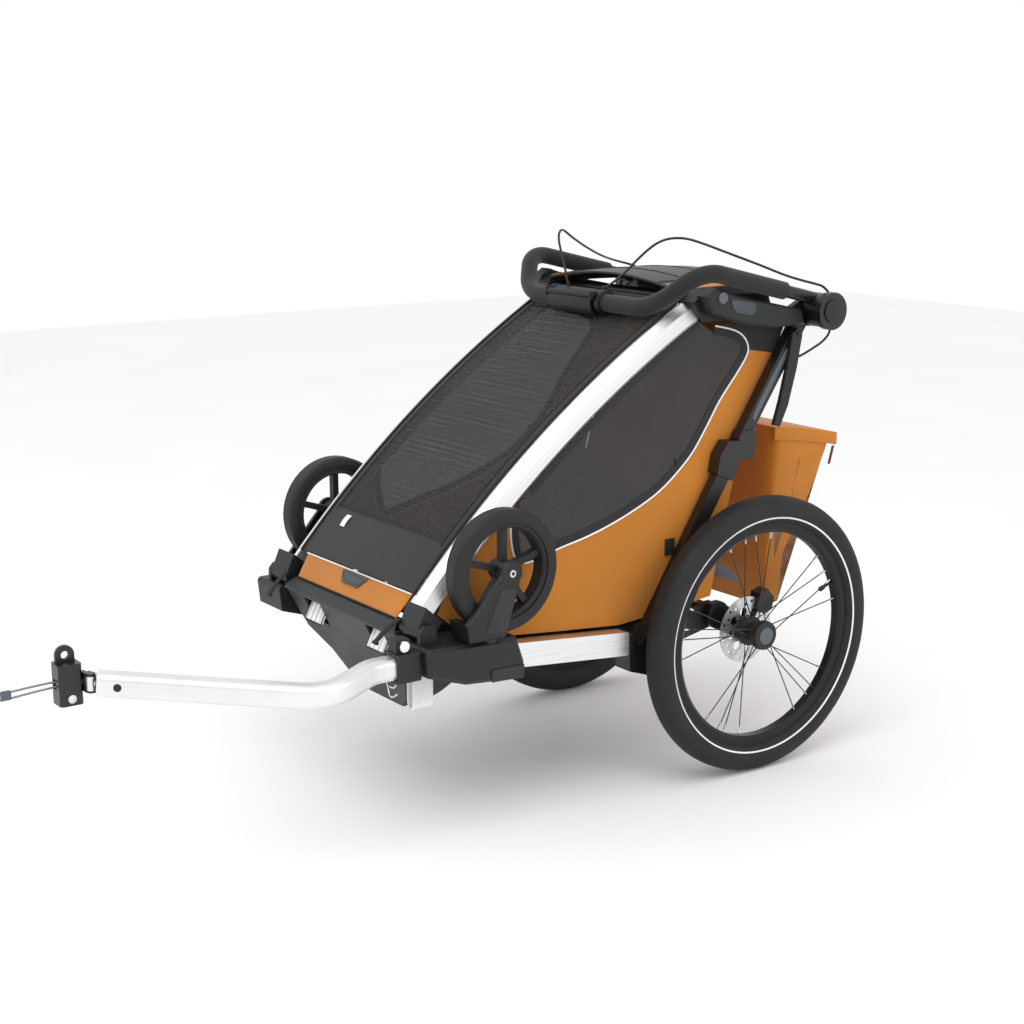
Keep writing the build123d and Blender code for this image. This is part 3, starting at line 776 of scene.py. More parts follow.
CARRIED = {
    "moulded_black": ("plastic_black", ("front_base_left", "front_base_right", "floor_pan",
        "hitch_receiver", "knuckles", "top_bracket_left", "top_bracket_right", "console",
        "brake_lever", "fold_paddle_left", "fold_paddle_right", "hub_left", "hub_right",
        "stroller_fork_left", "stroller_fork_right")),
    "moulded_charcoal": ("plastic_grey", ("nose_shell",)),
    "moulded_grey": ("plastic_grey", ("hub_button_left", "hub_button_right", "lock_button_left",
        "lock_button_right", "grip_button_left", "grip_button_right")),
    "coated_black": ("steel_black", ("suspension_left", "suspension_right", "rear_chassis",
        "uprights", "spokes_left", "spokes_right", "top_crossbar",
        "rear_strut_left", "rear_strut_right",
        "handlebar", "hitch_swivel", "hitch_head")),
    "small_tyre_rubber": ("plastic_black", ("stroller_wheel_left", "stroller_wheel_right")),
    "anodised_black": ("rim_black", ("rim_left", "rim_right")),
    "brushed_rail": ("aluminium_bright", ("side_rail_left", "side_rail_right")),
    "brushed_straight": ("aluminium_bright", ("lower_rails",)),
    "blasted_aluminium": ("aluminium_bright", ("hitch_arm",)),
    "chrome": ("steel_bright", ("hitch_pin", "hitch_lock")),
    "foam_sleeve": ("foam_black", ("grip_foam",)),
    "reflector": ("reflector_clear", ("reflectors",)),
}


def finish_carried():
    """Gives every carried part its own finish."""
    for name, (slot, nodes) in CARRIED.items():
        for node in nodes:
            obj = NODES[node]
            obj.data.materials.clear()
            obj.data.materials.append(FINISH[name])
    side_plates("reflectors", 288)


# ------------------------------------------------------------------ big wheels

def turned(name, profile, sides=96):
    """Turns a closed profile of (x, radius) in mm about the big wheel's axle."""
    bpy.ops.mesh.primitive_circle_add(vertices=len(profile), radius=1, fill_type="NOTHING")
    obj = named(name)
    for v, (x, r) in zip(obj.data.vertices, profile):
        v.co = (WHEEL_X + x / 1000, AXLE, WHEEL_Z + r / 1000)
    bpy.ops.object.mode_set(mode="EDIT")
    bpy.ops.mesh.select_all(action="SELECT")
    bpy.ops.mesh.spin(steps=sides, angle=2 * math.pi, center=(WHEEL_X, AXLE, WHEEL_Z),
                      axis=(1, 0, 0))
    bpy.ops.object.mode_set(mode="OBJECT")
    face_outwards(obj)
    return smooth(obj, 50)


def make_tyre():
    """Tyre: a hollow round casing that narrows to its beads over the rim."""
    profile = [(-9.6, 204.6), (-13.5, 206), (-18, 211), (-22, 219), (-24, 228), (-23.4, 237),
               (-20.5, 245), (-16, 249.8), (-9, 252.3), (0, 252.9), (9, 252.3), (16, 249.8),
               (20.5, 245), (23.4, 237), (24, 228), (22, 219), (18, 211), (13.5, 206),
               (9.6, 204.6), (12.8, 210), (17.5, 224), (15, 240), (0, 246.5), (-15, 240),
               (-17.5, 224), (-12.8, 210)]
    return turned("tyre_casing_left", profile)


def make_stripe():
    """Reflective stripe around the tyre's outer wall."""
    profile = [(20.3, 215.0), (21.6, 217.6), (22.2, 217.3), (20.8, 214.6)]
    return turned("tyre_stripe_left", profile)


def spoke_end(i):
    lean = 24.0 if i % 4 < 2 else -24.0
    a, b = math.radians(360.0 * i / SPOKES), math.radians(360.0 * i / SPOKES + lean)
    flange = (-23.0 if i % 2 else 6.0) + (2.2 if i % 4 < 2 else -2.2)
    seat = -2.0 if i % 2 else 2.0
    return (Vector((flange, 23 * math.cos(a), 23 * math.sin(a))),
            Vector((seat, 188 * math.cos(b), 188 * math.sin(b))))


def make_nipples():
    """Spoke nipples: squared shanks with a round collar at the rim."""
    bpy.ops.mesh.primitive_cylinder_add(vertices=8, radius=0.0019, depth=0.013)
    nipple = named("nipple")
    bpy.ops.object.mode_set(mode="EDIT")
    mesh = bmesh.from_edit_mesh(nipple.data)
    for face in mesh.faces:
        face.select = face.normal.z < -0.9
    bmesh.update_edit_mesh(nipple.data)
    bpy.ops.mesh.inset(thickness=0.0006)
    bpy.ops.mesh.extrude_region_move(TRANSFORM_OT_translate={"value": (0, 0, -0.0016)})
    bpy.ops.object.mode_set(mode="OBJECT")
    copies = []
    for i in range(SPOKES):
        a, b = spoke_end(i)
        run = (b - a).normalized()
        choose(nipple)
        bpy.ops.object.duplicate(linked=False)
        copy = bpy.context.object
        copy.rotation_mode = "QUATERNION"
        copy.rotation_quaternion = Vector((0, 0, 1)).rotation_difference(run)
        copy.location = (b - run * 5.5) / 1000 + Vector((WHEEL_X, AXLE, WHEEL_Z))
        copies.append(settle(copy))
    bpy.data.objects.remove(nipple)
    return smooth(joined("spoke_nipples_left", copies))


def make_valve():
    """Tyre valve with its cap, pointing at the hub."""
    a = math.radians(22)
    out = Vector((0, math.cos(a), math.sin(a)))

    def at(r):
        return 285.0, r * out.y, 253 + r * out.z
    stem = drum("valve_stem", at(176), 3.2, 26, tuple(out), 0.5, 16)
    cap = drum("valve_cap", at(164), 4.4, 11, tuple(out), 1.4, 16)
    return joined("valve_left", [stem, cap])


def make_rotor_face():
    """Six bright bolts on the brake disc."""
    bolts = []
    for i in range(6):
        a = math.radians(60 * i + 12)
        bolts.append(drum("rotor_bolt", (249.2, 27 * math.cos(a), 253 + 27 * math.sin(a)),
                          2.6, 1.6, (1, 0, 0), 0.3, 12))
    return joined("rotor_bolts_left", bolts)


def side_plates(node, limit):
    """Dark carriers of the side reflectors, by their place in the node's mesh."""
    obj = NODES[node]
    obj.data.materials.append(FINISH["moulded_charcoal"])
    for face in obj.data.polygons:
        if abs(face.center.x) * 1000 > limit:
            face.material_index = 1


def make_big_wheels():
    """Tyres with reflective stripes, nipples, valves and disc bolts on both wheels."""
    jobs = ((make_tyre, "tyre_rubber", "tyre"), (make_stripe, "reflective_stripe", None),
            (make_nipples, "chrome", None), (make_valve, "moulded_black", None),
            (make_rotor_face, "chrome", None))
    for make, finish_name, node in jobs:
        left = make()
        right = mirrored(left, left.name.replace("_left", "_right"))
        for side, obj in (("left", left), ("right", right)):
            clad(obj, finish_name)
            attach(obj, "wheel_" + side)
            if node:
                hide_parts(node + "_" + side)
    # ground steel on the brake disc alone, by its place in the hub's mesh
    for side in ("left", "right"):
        hub = NODES["hub_" + side]
        hub.data.materials.append(FINISH["ground_steel"])
        for face in hub.data.polygons:
            c = face.center
            away = abs(c.x) * 1000
            r = math.hypot(c.y - AXLE, c.z - WHEEL_Z) * 1000
            if 246.4 < away < 248.6 and r > 21.2:
                face.material_index = 1


# ------------------------------------------------------------------ front

def cover_point(x, share, off=0.0):
    y, z = on_arc(share, off)
    return P(x, y, z)


def make_front_cover():
    """Front cover: knitted mesh in a canvas border, keder along both rails, a white tab."""
    lift = lambda u, v: 5.0 * math.sin(math.pi * u) ** 0.7 * math.sin(math.pi * v) ** 0.6
    low, high = 0.024, 0.996

    def skin(x0, x1, t0, t1, off):
        def place(u, v):
            x = x0 + (x1 - x0) * u
            t = t0 + (t1 - t0) * v
            return cover_point(x, t, off + lift((x + 189) / 378, (t - low) / (high - low)))
        return place

    window = cloth_grid("cover_mesh", 24, 48, skin(-174, 174, 0.15, 0.965, -1.4))
    thicken(window, 0.0005)
    clad(window, "netting")
    pieces = []
    for name, box in (("low", (-186, 186, low, 0.165)), ("high", (-186, 186, 0.955, high)),
                      ("near", (168, 186, 0.155, 0.965)), ("far", (-186, -168, 0.155, 0.965))):
        strip = cloth_grid("cover_" + name, 24 if box[1] - box[0] > 100 else 6,
                           10 if box[3] - box[2] < 0.3 else 48, skin(*box, -0.6))
        pieces.append(thicken(strip, sizes().cloth))
    border = smooth(joined("cover_border", pieces))
    clad(border, "dark_canvas")
    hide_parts("front_cover")
    seams = []
    for x in (-170, 170):
        seams.append(tube("seam", [cover_point(x, t / 20, 0.6 + lift((x + 189) / 378,
                     (t / 20 - low) / (high - low))) for t in range(3, 20)], 0.0007))
    for t in (0.162, 0.958):
        seams.append(tube("seam", [cover_point(x, t, 0.6 + lift((x + 189) / 378,
                     (t - low) / (high - low))) for x in range(-170, 171, 17)], 0.0007))
    stitched = clad(joined("cover_seams", seams), "black_webbing")
    keders = [tube("keder", [cover_point(s * 186.6, 0.02 + 0.97 * i / 12, 1.2)
              for i in range(13)], 0.0026) for s in (1, -1)]
    keder = clad(joined("cover_keders", keders), "black_webbing")
    tab = cloth_grid("cover_tab", 4, 6, lambda u, v: cover_point(
        -124 + 14 * u, 0.112 + 0.034 * v, 3.4 + 1.5 * math.sin(math.pi * v)))
    round_edges(thicken(tab, 0.0012), 0.0003)
    clad(smooth(tab), "white_piping")
    for obj in (window, border, stitched, keder, tab):
        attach(obj, "cabin")


def band_point(x, share, off=0.0):
    """A point on the gold band over the fold: share 0 at its lower edge, 1 at its upper."""
    y = -690 + 27.6 * share
    z = 366 + 38.2 * share
    n = (-0.8106, 0.5857)
    bow = 2.0 * math.sin(math.pi * share) * (1 - (x / 175) ** 2)
    return P(x, y + n[0] * (off + bow), z + n[1] * (off + bow))


def make_front_band():
    """Gold band over the fold with white piping and a blank badge."""
    band = cloth_grid("band_cloth", 40, 10, lambda u, v: band_point(
        (2 * u - 1) * (164 + 9 * v), v, 1.0))
    round_edges(thicken(band, 0.0024), 0.0008)
    clad(smooth(band), "gold_canvas")
    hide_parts("front_band")
    piping = tube("band_piping", [band_point(-173 + 346 * i / 8, 1.0, 2.2) for i in range(9)],
                  sizes().piping)
    clad(piping, "white_piping")
    hem = tube("band_hem", [band_point(-163 + 326 * i / 8, 0.02, 1.6) for i in range(9)], 0.0013)
    clad(hem, "black_webbing")
    badge = outline_plate("band_badge", [(-42, 0.0), (42, 0.0), (26, -22), (-26, -22)], 1.6,
                          lambda a, b, c: band_point(a, 0.93 + b / 47, 2.2 + c +
                                                     2.0 * (1 - (a / 175) ** 2) * 0.2), 0.6)
    clad(badge, "badge_rubber")
    frame_line = [band_point(a, 0.93 + b / 47, 4.1) for a, b in
                  [(-38, -2), (38, -2), (24, -20), (-24, -20), (-38, -2)]]
    rim = tube("band_badge_rim", frame_line, 0.0004, sides=2)
    clad(rim, "moulded_black")
    for obj in (band, piping, hem, badge, rim):
        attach(obj, "cabin")


def make_nose_trim():
    """Nose details: rounded upper lip, reflector frames and the two pull tabs."""
    lip_line = [(-704.6, 344), (-705.2, 349), (-703, 354), (-698, 360), (-692, 364.5),
                (-684, 366)]

    def lip_place(u, v):
        i = min(int(v * 5), 4)
        k = v * 5 - i
        (y0, z0), (y1, z1) = lip_line[i], lip_line[i + 1]
        return P((2 * u - 1) * (190 - 20 * v), y0 + (y1 - y0) * k, z0 + (z1 - z0) * k)
    lip = cloth_grid("nose_lip", 24, 10, lip_place)
    face_outwards(lip)
    round_edges(thicken(lip, 0.003), 0.0008)
    clad(smooth(lip), "moulded_charcoal")
    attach(lip, "chassis")
    frames = []
    for s in (1, -1):
        lean = math.atan2(86, 177)
        def at(a, b, c):
            return P(s * 105 + a, -684.4 + b * math.sin(lean) - c * math.cos(lean),
                     317 + b * math.cos(lean) - c * math.sin(lean))
        ring = [at(a, b, 3.4) for a, b in ((-27, -19), (27, -19), (27, 19), (-27, 19), (-27, -19))]
        frames.append(tube("frame", [p for p in ring for _ in (0, 1)], 0.0009, sides=2))
    frames = clad(joined("reflector_frames", frames), "moulded_black")
    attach(frames, "chassis")
    tabs = []
    for s in (1, -1):
        line = [P(s * 188, -697, 372), P(s * 187, -712, 364), P(s * 184, -726, 352),
                P(s * 181, -739, 338)]
        path = smooth_line(line, 8)

        def place(u, v, path=path):
            return along(path, v) + Vector(((u - 0.5) * 0.012, 0, 0))
        strip = cloth_grid("tab", 2, 14, place)
        tabs.append(round_edges(thicken(strip, 0.0022), 0.0006))
        tabs.append(drum("tab_end", (s * 181, -739, 338), 3.0, 14, (1, 0, 0), 1.0, 12))
    tabs = clad(smooth(joined("pull_tabs", tabs)), "black_webbing")
    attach(tabs, "cabin")


def make_strap_loop():
    """White webbing loop that hangs under the left housing."""
    path = smooth_line([P(206.9, -677, 291), P(206.9, -677, 252), P(207.2, -677, 232),
                        P(215, -677, 224.6), P(222.8, -677, 232), P(223.1, -677, 252),
                        P(223.1, -677, 284)], 8)

    def place(u, v):
        return along(path, v) + Vector((0, (u - 0.5) * 0.039, 0))
    loop = cloth_grid("hand_strap", 6, 40, place)
    face_outwards(loop)
    round_edges(thicken(loop, 0.0018, 0.0), 0.0005)
    clad(smooth(loop), "white_webbing")
    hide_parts("strap_loop")
    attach(loop, "chassis")


def make_hitch_trim():
    """Hitch details: white pin head, chrome wire clip, plug and set screw in the arm."""
    head = drum("pin_head", (267.5, -737, 352), 8.6, 4.0, (1, 0, 0), 1.4, 28)
    clad(head, "reflective_stripe")
    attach(head, "pin")
    clip = tube("wire_clip", [P(252, -744, 288), P(248, -744, 281), P(240, -745, 279),
                P(232, -747, 282), P(231, -750, 289), P(238, -753, 289), P(246, -755, 282),
                P(252, -757, 272), P(262, -757, 270), P(264, -750, 276)], 0.0014)
    clad(clip, "chrome")
    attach(clip, "chassis")
    start, end = P(282, -884, 300), P(113, -1182, 335)
    run = (end - start).normalized()
    side = Vector((0, 0, 1)).cross(run).normalized()
    if side.x < 0:
        side = -side
    at = end - run * 0.031
    plug = drum("arm_plug", (0, 0, 0), 6.2, 3.0, (1, 0, 0), 0.8, 20)
    mm = (at + side * 0.0178)
    for v in plug.data.vertices:
        local = v.co - P(0, 0, 0)
        v.co = mm + side * local.x + run * local.y + side.cross(run) * local.z
    face_outwards(plug)
    clad(plug, "moulded_black")
    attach(plug, "arm")
    collar = drum("arm_cap", (0, 0, 0), 16.0, 3.0, (1, 0, 0), 1.0, 28)
    for v in collar.data.vertices:
        local = v.co - P(0, 0, 0)
        v.co = end + run * (0.0004 + local.x) + side * local.y * 1.05 + side.cross(run) * local.z
    face_outwards(collar)
    clad(collar, "moulded_black")
    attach(collar, "arm")


# ------------------------------------------------------------------ sides

PIPING = [(-497, 541), (-499, 520), (-500, 491), (-496, 461), (-488, 444), (-470, 437),
          (-440, 443), (-399, 455), (-340, 466), (-271, 487), (-206, 514), (-172, 534),
          (-140, 559), (-113, 584), (-95, 608), (-73, 640), (-52, 673), (-7, 723), (14, 752),
          (10, 770), (-6, 787), (-34, 797), (-66, 803)]


def inside_of(line, gap):
    """The line moved sideways by gap, to its left as it runs."""
    moved = []
    for i, p in enumerate(line):
        a, b = line[max(i - 1, 0)], line[min(i + 1, len(line) - 1)]
        d = Vector((b[0] - a[0], b[1] - a[1])).normalized()
        moved.append((p[0] - d.y * gap, p[1] + d.x * gap))
    return moved


def make_sides():
    """Sides: gold canvas, tinted window with a black edge, and white piping between."""
    edge = [on_arc(i / 24, -34.5) for i in range(25)]
    line = [(v.x, v.y) for v in smooth_line([(a, b, 0) for a, b in PIPING], 4)]
    front = [p for p in edge if p[0] < line[0][0] - 2]
    front[0] = (front[0][0] + 8, front[0][1] + 2)
    low_line = [p for i, p in enumerate(line) if i <= max(
        range(len(line)), key=lambda k: line[k][0])]
    gold_edge = front + low_line + [(75, 745), (60, 716), (20, 640),
                (-14, 520), (-40, 420), (-60, 318), (-160, 307), (-268, 298), (-400, 309),
                (-519, 320), (-536, 348), (-612, 352)]
    inner = inside_of(line, 12.5)
    rail_side = [p for p in edge if inner[0][0] + 2 < p[0] < inner[-1][0] - 4]
    top_line = list(reversed(rail_side))
    glass_edge = inner + top_line

    def bulge(y, z):
        """How far the cloth stands out between its fixings."""
        low, high = 300.0, 800.0
        t = max(0.0, min(1.0, (z - low) / (high - low)))
        s = max(0.0, min(1.0, (y + 610) / 650))
        return 1000 * sizes().bulge * math.sin(math.pi * t) * math.sin(math.pi * s)

    for sign, side in ((1, "left"), (-1, "right")):
        def place(off):
            return lambda y, z: P(sign * (SIDE_X + off + 0.5 * bulge(y, z)), y, z)
        gold = cut_panel("side_cloth_" + side, gold_edge, place(0.0))
        face_outwards(gold)
        thicken(gold, sizes().cloth, 0.0)
        clad(smooth(gold), "gold_canvas")
        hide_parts("side_panel_" + side)
        gusset = cut_panel("side_gusset_" + side, [(-66, 803), (-34, 797), (-6, 787), (8, 772),
                           (13, 756), (74, 746), (96, 790), (60, 792), (-30, 806)], place(0.2))
        face_outwards(gusset)
        thicken(gusset, sizes().cloth, 0.0)
        clad(smooth(gusset), "dark_canvas")
        film = cut_panel("side_window_" + side, glass_edge, place(0.3))
        face_outwards(film)
        thicken(film, 0.0005, 0.0)
        clad(smooth(film), "tinted_film")

        def ribbon(name, path_a, path_b, off):
            count = len(path_a) - 1
            def at(u, v):
                i = min(int(v * count), count - 1)
                k = v * count - i
                a = [path_a[i][n] + (path_a[i + 1][n] - path_a[i][n]) * k for n in (0, 1)]
                b = [path_b[i][n] + (path_b[i + 1][n] - path_b[i][n]) * k for n in (0, 1)]
                y, z = a[0] + (b[0] - a[0]) * u, a[1] + (b[1] - a[1]) * u
                return P(sign * (SIDE_X + off + 0.5 * bulge(y, z)), y, z)
            strip = cloth_grid(name, 2, count, at)
            face_outwards(strip)
            return thicken(strip, sizes().cloth, 0.0)
        lower = ribbon("edge_low", line, inside_of(line, 15.5), 0.9)
        upper = ribbon("edge_top", rail_side, inside_of(rail_side, -13.0), 0.9)
        border = clad(smooth(joined("window_edge_" + side, [lower, upper])), "dark_canvas")
        cord = tube("side_piping_" + side, [P(sign * (217.4 + 0.5 * bulge(y, z)), y, z)
                    for y, z in PIPING], sizes().piping, steps=6)
        clad(cord, "white_piping")
        zipper = brick("zip_pull_" + side, (216.6, -152, 563), (220.4, -147, 579), 1.6)
        tab = brick("side_tab_" + side, (216.8, -170, 408), (220.6, -148, 438), 1.4)
        on_side(zipper, sign)
        on_side(tab, sign)
        clad(zipper, "moulded_black")
        clad(tab, "black_webbing")
        for obj in (gold, gusset, film, border, cord, zipper, tab):
            fold_with_cabin(obj)


def make_rear():
    """Rear: gold canvas that follows the uprights down to the floor."""
    path = smooth_line([P(0, 97, 791), P(0, 62, 716), P(0, 22, 640), P(0, -10, 530),
                        P(0, -36, 420), P(0, -56, 318)], 8)

    def place(u, v):
        p = along(path, v)
        x = (2 * u - 1) * 0.213
        sag = 0.006 * math.sin(math.pi * u) * math.sin(math.pi * v)
        return Vector((x, p.y + sag, p.z))
    back = cloth_grid("rear_cloth", 30, 30, place)
    thicken(back, sizes().cloth, 0.0)
    face_outwards(back)
    clad(smooth(back), "gold_canvas")
    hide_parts("rear_panel")
    fold_with_cabin(back)


def make_roof():
    """Roof: one crowned sheet with flaps, gold corner patches, seams and a rear valance."""
    def height(x, y):
        crown = 20 * (1 - (x / 188) ** 2)
        ends = 3.0 * math.sin(math.pi * max(0, min(1, (y + 126) / 205)))
        return 862.4 + crown + ends

    def skin(x, y):
        return P(x, y, height(x, y))
    roof = cloth_grid("roof_cloth", 36, 28, lambda u, v: skin(-186.5 + 373 * u, -125 + 203 * v))
    choose(roof)
    bpy.ops.object.mode_set(mode="EDIT")
    bpy.ops.mesh.select_all(action="DESELECT")
    mesh = bmesh.from_edit_mesh(roof.data)
    back = max(v.co.y for v in mesh.verts)
    for e in mesh.edges:
        e.select = all(v.co.y > back - 1e-5 for v in e.verts)
    bmesh.update_edit_mesh(roof.data)
    for step in ((0.006, -0.012), (0.008, -0.022), (0.009, -0.030)):
        bpy.ops.mesh.extrude_region_move(TRANSFORM_OT_translate={"value": (0, *step)})
    bpy.ops.object.mode_set(mode="OBJECT")
    face_outwards(roof)
    thicken(roof, 0.0035)
    round_edges(roof, 0.0009)
    clad(smooth(roof, 60), "dark_canvas")
    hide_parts("canopy_roof")
    flaps = [cloth_grid("front_flap", 36, 6, lambda u, v: cover_point(
        -186 + 372 * u, 0.955 + 0.055 * v, 1.4 + 3.5 * math.sin(math.pi * u) ** 0.7 * (1 - v)))]
    for s in (1, -1):
        flaps.append(cloth_grid("side_flap", 28, 3, lambda u, v, s=s: P(
            s * (187.0 + 1.0 * v), -125 + 203 * u, height(186.5, -125 + 203 * u) - 14 * v)))
    flaps = [thicken(flap, 0.0014) for flap in flaps]
    flaps = clad(smooth(joined("roof_flaps", flaps)), "dark_canvas")
    patches = []
    for s in (1, -1):
        corner = [(186, -121), (186, -2), (150, -5), (150, -62), (148, -94), (146, -121)]
        patch = cut_panel("patch", [(s * a, b) for a, b in corner],
                          lambda x, y: skin(x, y) + Vector((0, 0, 0.0012)), 12.0)
        face_outwards(patch)
        patches.append(thicken(patch, 0.0016, 0.0))
    patches = clad(smooth(joined("roof_patches", patches)), "gold_canvas")
    seams = []
    for x in (-128, 128):
        seams.append(tube("seam", [skin(x + (6 if x > 0 else -6) * i / 8, -122 + 196 * i / 8) +
                     Vector((0, 0, 0.0008)) for i in range(9)], 0.0008))
    for y in (-60, 24):
        seams.append(tube("seam", [skin(-184 + 368 * i / 10, y) + Vector((0, 0, 0.0008))
                     for i in range(11)], 0.0008))
    seams = clad(joined("roof_seams", seams), "black_webbing")
    for obj in (roof, flaps, patches, seams):
        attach(obj, "cabin")


# ------------------------------------------------------------------ bag and seat

def make_bag():
    """Rear bag: a hanging cloth box that sags, with a lid and a red strip at its corner."""
    front = [(137, 597), (134, 520), (134, 420), (134, 330), (141, 252)]
    rear = [(294, 571), (284, 540), (248, 462), (184, 352), (180, 258)]

    def ring(k):
        i = min(int(k * 4), 3)
        f = k * 4 - i
        a = [front[i][n] + (front[i + 1][n] - front[i][n]) * f for n in (0, 1)]
        b = [rear[i][n] + (rear[i + 1][n] - rear[i][n]) * f for n in (0, 1)]
        return a, b

    def place(u, v):
        a, b = ring(v)
        width = 163 - 14 * v ** 2
        turn = 2 * math.pi * u
        c, s = math.cos(turn), math.sin(turn)
        square = lambda q: math.copysign(abs(q) ** 0.2, q)
        x, deep = width * square(c), (square(s) + 1) / 2
        y = a[0] + (b[0] - a[0]) * deep
        z = a[1] + (b[1] - a[1]) * deep
        sag = math.sin(math.pi * v) * (1 + 0.5 * math.sin(6 * turn + 3 * v))
        y += 3.0 * sag * (1 if deep > 0.5 else -0.3) * abs(s) - 2
        x *= 1 - 0.02 * sag
        return P(x, y, z)
    shell = cloth_grid("bag_shell", 96, 40, place)
    choose(shell)
    bpy.ops.object.mode_set(mode="EDIT")
    bpy.ops.mesh.select_all(action="SELECT")
    bpy.ops.mesh.remove_doubles(threshold=1e-5)
    bpy.ops.mesh.select_all(action="DESELECT")
    mesh = bmesh.from_edit_mesh(shell.data)
    for e in mesh.edges:
        e.select = e.is_boundary
    bmesh.update_edit_mesh(shell.data)
    bpy.ops.mesh.edge_face_add()
    bpy.ops.object.mode_set(mode="OBJECT")
    face_outwards(shell)
    clad(smooth(shell, 50), "gold_canvas")

    def lid_place(u, v):
        x = (2 * u - 1) * 164.5
        y = 135 + 161 * v
        z = 598 - 25 * v ** 1.3 + 3.0 * math.sin(math.pi * u) * math.sin(math.pi * v)
        return P(x, y, z)
    lid = cloth_grid("bag_lid", 34, 20, lid_place)
    choose(lid)
    bpy.ops.object.mode_set(mode="EDIT")
    bpy.ops.mesh.select_all(action="DESELECT")
    mesh = bmesh.from_edit_mesh(lid.data)
    front_y = min(v.co.y for v in mesh.verts)
    for e in mesh.edges:
        e.select = e.is_boundary and not all(v.co.y < front_y + 1e-5 for v in e.verts)
    bmesh.update_edit_mesh(lid.data)
    bpy.ops.mesh.extrude_region_move(TRANSFORM_OT_translate={"value": (0, 0, -0.010)})
    bpy.ops.mesh.extrude_region_move(TRANSFORM_OT_translate={"value": (0, 0, -0.014)})
    bpy.ops.object.mode_set(mode="OBJECT")
    thicken(lid, 0.0022)
    round_edges(lid, 0.0007)
    face_outwards(lid)
    clad(smooth(lid, 60), "gold_canvas")
    red = cloth_grid("bag_red_strip", 2, 8, lambda u, v: P(164.6 - 1.0 * u, 284 - 9 * v + 6 * u,
                                                          548 - 34 * v))
    thicken(red, 0.002, 0.0)
    clad(smooth(red), "red_webbing")
    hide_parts("cargo_bag")
    for obj in (shell, lid, red):
        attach(obj, "chassis")
        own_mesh(obj)


def pad(name, across, outline, crown, channels):
    """A cushion: a crowned, closed form on its outline, with sewn channels across it."""
    lows, highs = outline

    def place(u, v):
        turn = 2 * math.pi * v
        c, s = math.cos(turn), math.sin(turn)
        square = lambda q: math.copysign(abs(q) ** 0.5, q)
        along, up = (square(c) + 1) / 2, (square(s) + 1) / 2
        x = (2 * u - 1)
        pull = 1 - 0.10 * (abs(x) ** 6)
        base = [lows[0][n] + (lows[1][n] - lows[0][n]) * along for n in (0, 1)]
        top = [highs[0][n] + (highs[1][n] - highs[0][n]) * along for n in (0, 1)]
        mid = [(base[n] + top[n]) / 2 for n in (0, 1)]
        y = base[0] + (top[0] - base[0]) * up
        z = base[1] + (top[1] - base[1]) * up
        ridge = crown * (1 - x * x) * math.sin(math.pi * along) * (up - 0.5) * 2
        groove = sum(math.exp(-((along - k) / 0.018) ** 2) for k in channels) * 3.0
        d = Vector((top[0] - base[0], top[1] - base[1])).normalized()
        grow = (max(ridge, 0) - groove * max(up - 0.5, 0) * 2)
        y, z = mid[0] + (y - mid[0]) * pull + d.x * grow, mid[1] + (z - mid[1]) * pull + d.y * grow
        return P(x * across * (1 - 0.02 * (2 * along - 1) ** 2), y, z)
    obj = cloth_grid(name, 40, 72, place)
    choose(obj)
    bpy.ops.object.mode_set(mode="EDIT")
    bpy.ops.mesh.select_all(action="SELECT")
    bpy.ops.mesh.remove_doubles(threshold=1e-5)
    bpy.ops.mesh.select_all(action="DESELECT")
    mesh = bmesh.from_edit_mesh(obj.data)
    for e in mesh.edges:
        e.select = e.is_boundary
    bmesh.update_edit_mesh(obj.data)
    bpy.ops.mesh.edge_face_add()
    bpy.ops.object.mode_set(mode="OBJECT")
    face_outwards(obj)
    return smooth(obj, 60)


def plumped(obj, cap):
    """Fills a cushion with air for a moment, as stuffing would, and keeps the result."""
    choose(obj)
    finish_with(obj, "REMESH", mode="VOXEL", voxel_size=0.0055)
    rest = [v.co.copy() for v in obj.data.vertices]
    cloth = obj.modifiers.new("Cloth", "CLOTH")
    cloth.settings.use_pressure = True
    cloth.settings.uniform_pressure_force = 4.0
    cloth.settings.effector_weights.gravity = 0.0
    scene = bpy.context.scene
    for frame_at in range(1, 21):
        scene.frame_set(frame_at)
    view = bpy.context.evaluated_depsgraph_get()
    moved = [v.co.copy() for v in obj.evaluated_get(view).data.vertices]
    obj.modifiers.remove(cloth)
    scene.frame_set(1)
    for v, a, b in zip(obj.data.vertices, rest, moved):
        d = b - a
        v.co = a + (d * (cap / d.length) if d.length > cap else d)
    return obj


def make_seat():
    """Seat: cushion and backrest, stuffed and channelled, with harness webbing."""
    seat = pad("seat_cushion", 168, (((-436, 285), (-219, 277)), ((-436, 316), (-219, 316))),
               5.0, (0.3, 0.62))
    back = pad("seat_back", 164, (((-170, 322), (-100, 486)), ((-200, 328), (-127, 490))),
               5.0, (0.28, 0.55, 0.8))
    for obj in (seat, back):
        plumped(obj, 0.004)
        finish_with(obj, "SUBSURF", levels=1, render_levels=1)
        clad(smooth(obj, 60), "seat_cloth")
        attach(obj, "chassis")
    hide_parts("seat")
    belts = []
    for s in (1, -1):
        path = smooth_line([P(s * 42, -112, 494), P(s * 44, -140, 500), P(s * 46, -182, 410),
                            P(s * 40, -222, 352), P(s * 22, -262, 334), P(0, -290, 326)], 6)

        def place(u, v, path=path):
            return along(path, v) + Vector(((u - 0.5) * 0.025, 0, 0))
        strip = cloth_grid("belt", 2, 30, place)
        face_outwards(strip)
        belts.append(thicken(strip, 0.0014, 0.0))
    belts.append(brick("buckle", (-20, -306, 322), (20, -276, 334), 4.0, 3))
    belts = clad(smooth(joined("harness", belts)), "black_webbing")
    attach(belts, "chassis")


# ------------------------------------------------------------------ frame trim

